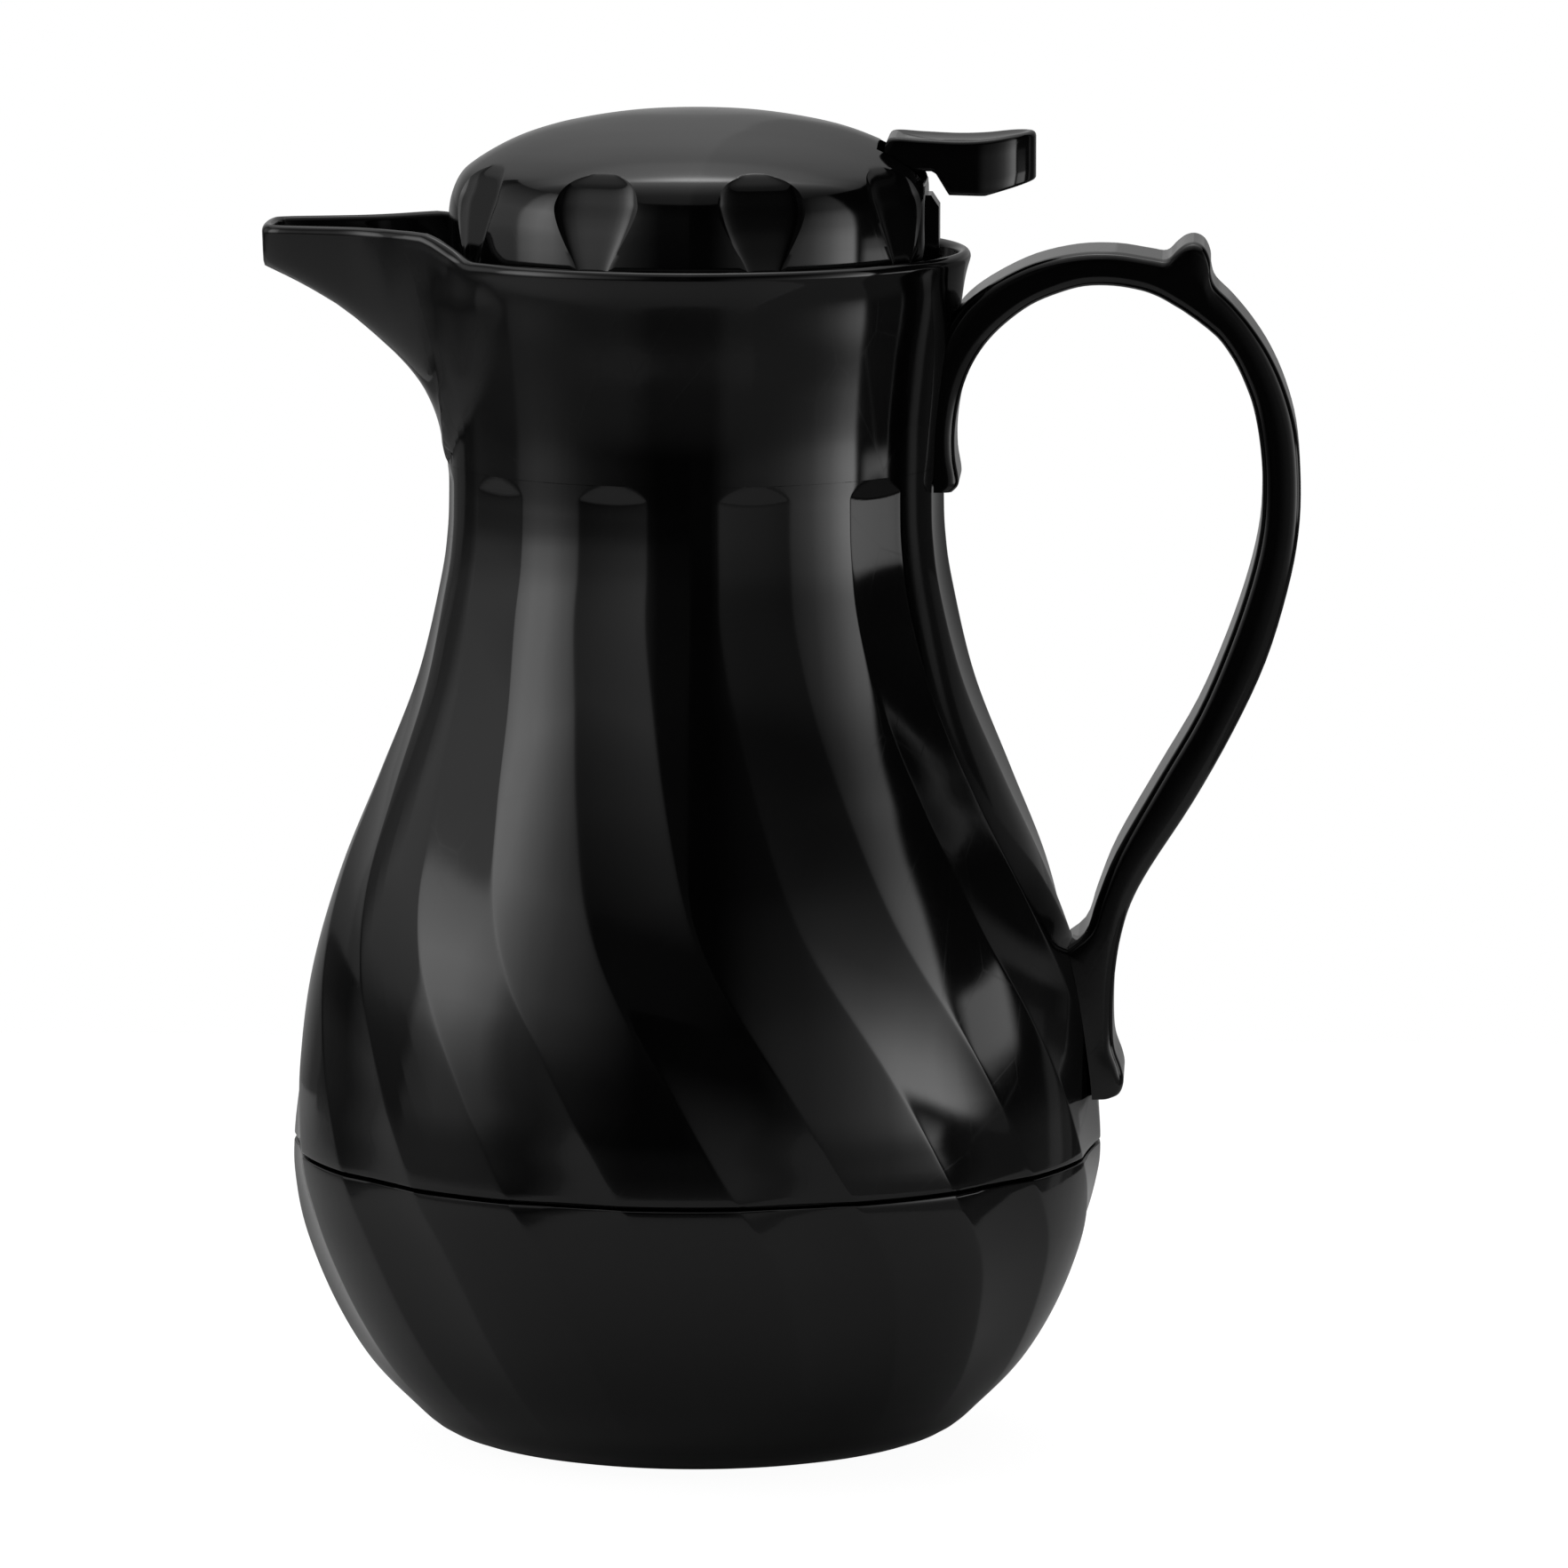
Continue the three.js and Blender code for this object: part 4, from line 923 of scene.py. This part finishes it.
place_piece(cushion, "jug", "seal_rubber", "liner_cushion")
pin = rod("pivot_pin", PIVOT, 1.8, -17.2, 17.2, "Y", 48)
place_piece(pin, "lid", "fastener_steel", "lever_pin")


def coil_spring():
    """Helical wire with closed round section, 5 turns."""
    low, high, radius, wire, turns = 204.2, 228.6, 8.6, 0.6, 5
    up = np.array([0, 0, 1])
    rings = []
    for share in np.linspace(0, 1, 241):
        angle = math.tau * turns * share
        out = np.array([math.cos(angle), math.sin(angle), 0])
        centre = np.array([radius * out[0], radius * out[1], mix(low, high, share)])
        section = [math.cos(a) * out + math.sin(a) * up for a in np.radians(np.arange(10) * 36)]
        rings.append([centre + wire * side for side in section])
    return loft("return_spring", rings, False, 60)


spring = coil_spring()
place_piece(spring, "lid", "fastener_steel", "valve_spring")
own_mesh(spring)


# ---------- stage ----------
def level_ramp(tree, value, low, high, stops, most):
    """Level read from (key, level) stops along a value that runs from low to high."""
    ramp = add_node(tree, "ValToRGB", Fac=spread(tree, value, 0, 1, low, high))
    elements = ramp.color_ramp.elements
    while len(elements) < len(stops):
        elements.new(0.5)
    for element, (key, level) in zip(elements, stops):
        element.position = (key - low) / (high - low)
        element.color = (level / most, level / most, level / most, 1)
    return number(tree, "MULTIPLY", ramp.outputs["Color"], most)


def coordinates(tree, source):
    """X, Y and Z on the object or in the world's direction."""
    place = add_node(tree, "TexCoord").outputs[source]
    split = add_node(tree, "SeparateXYZ", Vector=place)
    return [split.outputs[axis] for axis in "XYZ"]


# Soft panels stand round the server on a curved wall, open behind. Levels by angle round it in degrees,
# 0 at the front and positive to the right: each side brightens away from the front, ends sharply, and a
# dark gap stands between them.
WALL_RADIUS = 0.65
WALL_TOP = 0.8
WALL_FOOT = -0.3
WALL_ENDS = 130
SIDE_LEVELS = [
    (-130, 0.05), (-121, 0.07), (-114, 0.17), (-86, 0.24), (-83.5, 0.6), (-73, 0.95), (-65, 0.9),
    (-57, 0.6), (-49, 0.36), (-41, 0.22), (-26, 0.1), (-18, 0.045), (-13.5, 0.015), (9, 0.015),
    (13, 0.06), (19, 0.15), (26, 0.22), (34, 0.26), (42, 0.36), (49, 0.52), (56, 0.76), (64, 1.5),
    (72, 2.6), (78.5, 3.0), (80.5, 0.04), (115, 0.02), (118, 0.14), (122, 0.14), (124, 0.03), (130, 0.03),
]
# and by height in metres
LEFT_HEIGHTS = [
    (0, 0.2), (0.068, 0.34), (0.118, 0.5), (0.15, 0.8), (0.19, 1.6), (0.277, 2.4), (0.45, 2.7),
    (0.6, 1.8), (0.8, 0.7),
]
RIGHT_HEIGHTS = [
    (0, 0.35), (0.05, 0.7), (0.12, 1.05), (0.2, 0.95), (0.3, 0.62), (0.41, 0.42), (0.52, 0.18),
    (0.8, 0.05),
]
SKIRT_GAP, SKIRT_LEVEL = 0.09, 0.19  # level of the skirt below the panels, in the gap and beside it
SKIRT_TOP = 0.075
# Lamps beyond the right panel, level with the lid: first and last angle, foot, top, level
SIDE_LAMPS = [(82, 106, 0.09, 0.22, 1.3)]
# Ceiling, by angle in degrees from the horizon in front, over the top, to the horizon behind
CEILING_LEVELS = [
    (0, 0.03), (21, 0.04), (31, 0.08), (39, 0.11), (48, 0.14), (60, 0.22), (75, 0.5), (89, 0.82),
    (100, 1.3), (106, 1.7), (112, 1.3), (117, 1.1), (122, 0.82), (131, 0.72), (141, 0.55), (151, 0.36),
    (160, 0.24), (168, 0.17), (180, 0.08),
]
# and by distance from the middle
CEILING_FADE = [(0, 1), (0.3, 0.85), (0.55, 0.5), (0.75, 0.15), (0.9, 0.05), (1, 0.04)]
MOST_LEVEL = 4.0  # brightest level a ramp holds
# Bright core of the ceiling, a little behind the top: place, widths along X and Y, level
CORE_BACK, CORE_WIDE, CORE_LONG, CORE_LEVEL = 0.242, 0.2, 0.035, 4.0
# Levels below the horizon: on the right, added on the left, and added at the back
LOW_RIGHT, LOW_LEFT, LOW_BACK = 0.03, 0.07, 0.16


def soft_panel(tree, turn, z, first, last, foot, top, level):
    """Panel with soft edges, 4 degrees wide at the sides and 20 mm at the foot and top."""
    sides = [
        spread(tree, turn, 0, level, first, first + 4),
        spread(tree, turn, 1, 0, last - 4, last),
        spread(tree, z, 0, 1, foot, foot + 0.02),
        spread(tree, z, 1, 0, top - 0.02, top),
    ]
    shape = sides[0]
    for side in sides[1:]:
        shape = number(tree, "MULTIPLY", shape, side)
    return shape


def studio_wall():
    """Curved wall of light that shows only in reflections."""
    steps, rows = 104, 12
    turns = [math.radians(mix(-WALL_ENDS, WALL_ENDS, i / steps)) for i in range(steps + 1)]
    levels = [mix(WALL_FOOT, WALL_TOP, j / rows) for j in range(rows + 1)]
    corners = [
        (WALL_RADIUS * math.sin(turn), -WALL_RADIUS * math.cos(turn), z) for z in levels for turn in turns
    ]
    starts = [j * (steps + 1) + i for j in range(rows) for i in range(steps)]
    mesh = bpy.data.meshes.new("studio_wall")
    mesh.from_pydata(corners, [], [(k, k + 1, k + steps + 2, k + steps + 1) for k in starts])
    wall = add_object("studio_wall", mesh)
    wall.visible_camera = False
    light, tree, shader = new_material("wall_light")
    tree.nodes.remove(shader)
    x, y, z = coordinates(tree, "Object")
    turn = number(tree, "ARCTAN2", x, number(tree, "MULTIPLY", y, -1.0))
    turn = number(tree, "DEGREES", turn)
    side = level_ramp(tree, turn, -WALL_ENDS, WALL_ENDS, SIDE_LEVELS, MOST_LEVEL)
    left = level_ramp(tree, z, 0, WALL_TOP, LEFT_HEIGHTS, MOST_LEVEL)
    right = level_ramp(tree, z, 0, WALL_TOP, RIGHT_HEIGHTS, MOST_LEVEL)
    is_right = number(tree, "GREATER_THAN", turn, 0.0)
    change = number(tree, "SUBTRACT", right, left)
    height = number(tree, "MULTIPLY_ADD", is_right, change, left)
    # near the table and below it the panels give way to a plain pale skirt, darker in the gap
    below = spread(tree, z, 1, 0, 0.0, SKIRT_TOP)
    pale = spread(tree, side, SKIRT_GAP, SKIRT_LEVEL, 0.03, 0.12)
    skirt = number(tree, "MULTIPLY", pale, below)
    panels = number(tree, "MULTIPLY", side, height)
    panels = number(tree, "MULTIPLY", panels, number(tree, "SUBTRACT", 1.0, below))
    total = number(tree, "ADD", panels, skirt)
    for lamp in SIDE_LAMPS:
        total = number(tree, "ADD", total, soft_panel(tree, turn, z, *lamp))
    glow = add_node(tree, "Emission", Strength=total)
    set_inputs(tree, tree.nodes["Material Output"], Surface=glow.outputs["Emission"])
    mesh.materials.append(light)


def studio_world():
    world = bpy.data.worlds.new("studio")
    bpy.context.scene.world = world
    world.use_nodes = True
    tree = world.node_tree
    x, y, z = coordinates(tree, "Generated")
    over = number(tree, "ARCTAN2", z, number(tree, "MULTIPLY", y, -1.0))
    over = number(tree, "DEGREES", over)
    ceiling = level_ramp(tree, over, 0, 180, CEILING_LEVELS, MOST_LEVEL)
    fade = level_ramp(tree, number(tree, "ABSOLUTE", x), 0, 1, CEILING_FADE, 1.0)
    along = number(tree, "DIVIDE", number(tree, "SUBTRACT", y, CORE_BACK), CORE_LONG)
    across = number(tree, "DIVIDE", x, CORE_WIDE)
    far = number(tree, "MULTIPLY", across, across)
    far = number(tree, "MULTIPLY_ADD", along, along, far)
    core = number(tree, "EXPONENT", number(tree, "MULTIPLY", far, -1.0))
    core = number(tree, "MULTIPLY", core, CORE_LEVEL)
    total = number(tree, "MULTIPLY_ADD", ceiling, fade, core)
    above = number(tree, "GREATER_THAN", z, 0.0)
    is_left = number(tree, "LESS_THAN", x, 0.0)
    low = number(tree, "MULTIPLY_ADD", is_left, LOW_LEFT, LOW_RIGHT)
    backwards = spread(tree, y, 0, LOW_BACK, 0.8, 0.97)
    behind = number(tree, "MULTIPLY", backwards, spread(tree, z, 1, 0, 0.02, 0.2))
    low = number(tree, "ADD", low, behind)
    total = number(tree, "MULTIPLY_ADD", total, above, low)
    room = tree.nodes["Background"]
    set_inputs(tree, room, Color=(1, 1, 1, 1), Strength=total)
    backdrop = add_node(tree, "Background", Color=(1, 1, 1, 1))
    shown = backdrop.outputs["Background"]
    white_to_camera(tree, room.outputs["Background"], shown, tree.nodes["World Output"])


def white_to_camera(tree, lit, shown, output):
    """The stage is plain white to the camera, and only reflections and light see the studio."""
    rays = add_node(tree, "LightPath")
    chosen = add_node(tree, "MixShader", Fac=rays.outputs["Is Camera Ray"])
    tree.links.new(lit, chosen.inputs[1])
    tree.links.new(shown, chosen.inputs[2])
    set_inputs(tree, output, Surface=chosen.outputs["Shader"])


TABLE_SIDES = (-0.64, 0.3)
TABLE_ENDS = (-0.6, 0.5)
TABLE_GAP = 0.0002


def table_top():
    """Pale table, a little below the server's foot."""
    (left, right), (front, back) = TABLE_SIDES, TABLE_ENDS
    mesh = bpy.data.meshes.new("table")
    corners = [(left, front, 0), (right, front, 0), (right, back, 0), (left, back, 0)]
    mesh.from_pydata(corners, [], [(0, 1, 2, 3)])
    table = add_object("table", mesh)
    table.location.z = -TABLE_GAP
    paper, tree, shader = new_material("pale_table")
    set_inputs(tree, shader, Base_Color=(0.55, 0.55, 0.55, 1), Roughness=0.9, Specular_IOR_Level=0.0)
    shown = add_node(tree, "BsdfDiffuse", Color=(0.2, 0.2, 0.2, 1))
    glow = add_node(tree, "Emission", Strength=0.96)
    white = add_node(tree, "AddShader")
    tree.links.new(shown.outputs["BSDF"], white.inputs[0])
    tree.links.new(glow.outputs["Emission"], white.inputs[1])
    lit = shader.outputs["BSDF"]
    white_to_camera(tree, lit, white.outputs["Shader"], tree.nodes["Material Output"])
    mesh.materials.append(paper)


studio_world()
studio_wall()
table_top()

# ---------- camera ----------
CAMERA_TURN = math.radians(2.5)
CAMERA_BACK = 2.17065
CAMERA_RIGHT = 0.01822
CAMERA_HEIGHT = 0.44373
CAMERA_TILT = math.radians(81.95)
CAMERA_LENS = 241.7
camera_data = bpy.data.cameras.new("camera")
camera_data.lens = CAMERA_LENS
camera_data.sensor_width = 36
camera_data.clip_start, camera_data.clip_end = 0.05, 60
camera = add_object("camera", camera_data)
camera.location = (
    CAMERA_RIGHT * math.cos(CAMERA_TURN) + CAMERA_BACK * math.sin(CAMERA_TURN),
    CAMERA_RIGHT * math.sin(CAMERA_TURN) - CAMERA_BACK * math.cos(CAMERA_TURN),
    CAMERA_HEIGHT,
)
camera.rotation_euler = (CAMERA_TILT, 0, CAMERA_TURN)
bpy.context.scene.camera = camera
bpy.context.scene.view_settings.view_transform = "Standard"
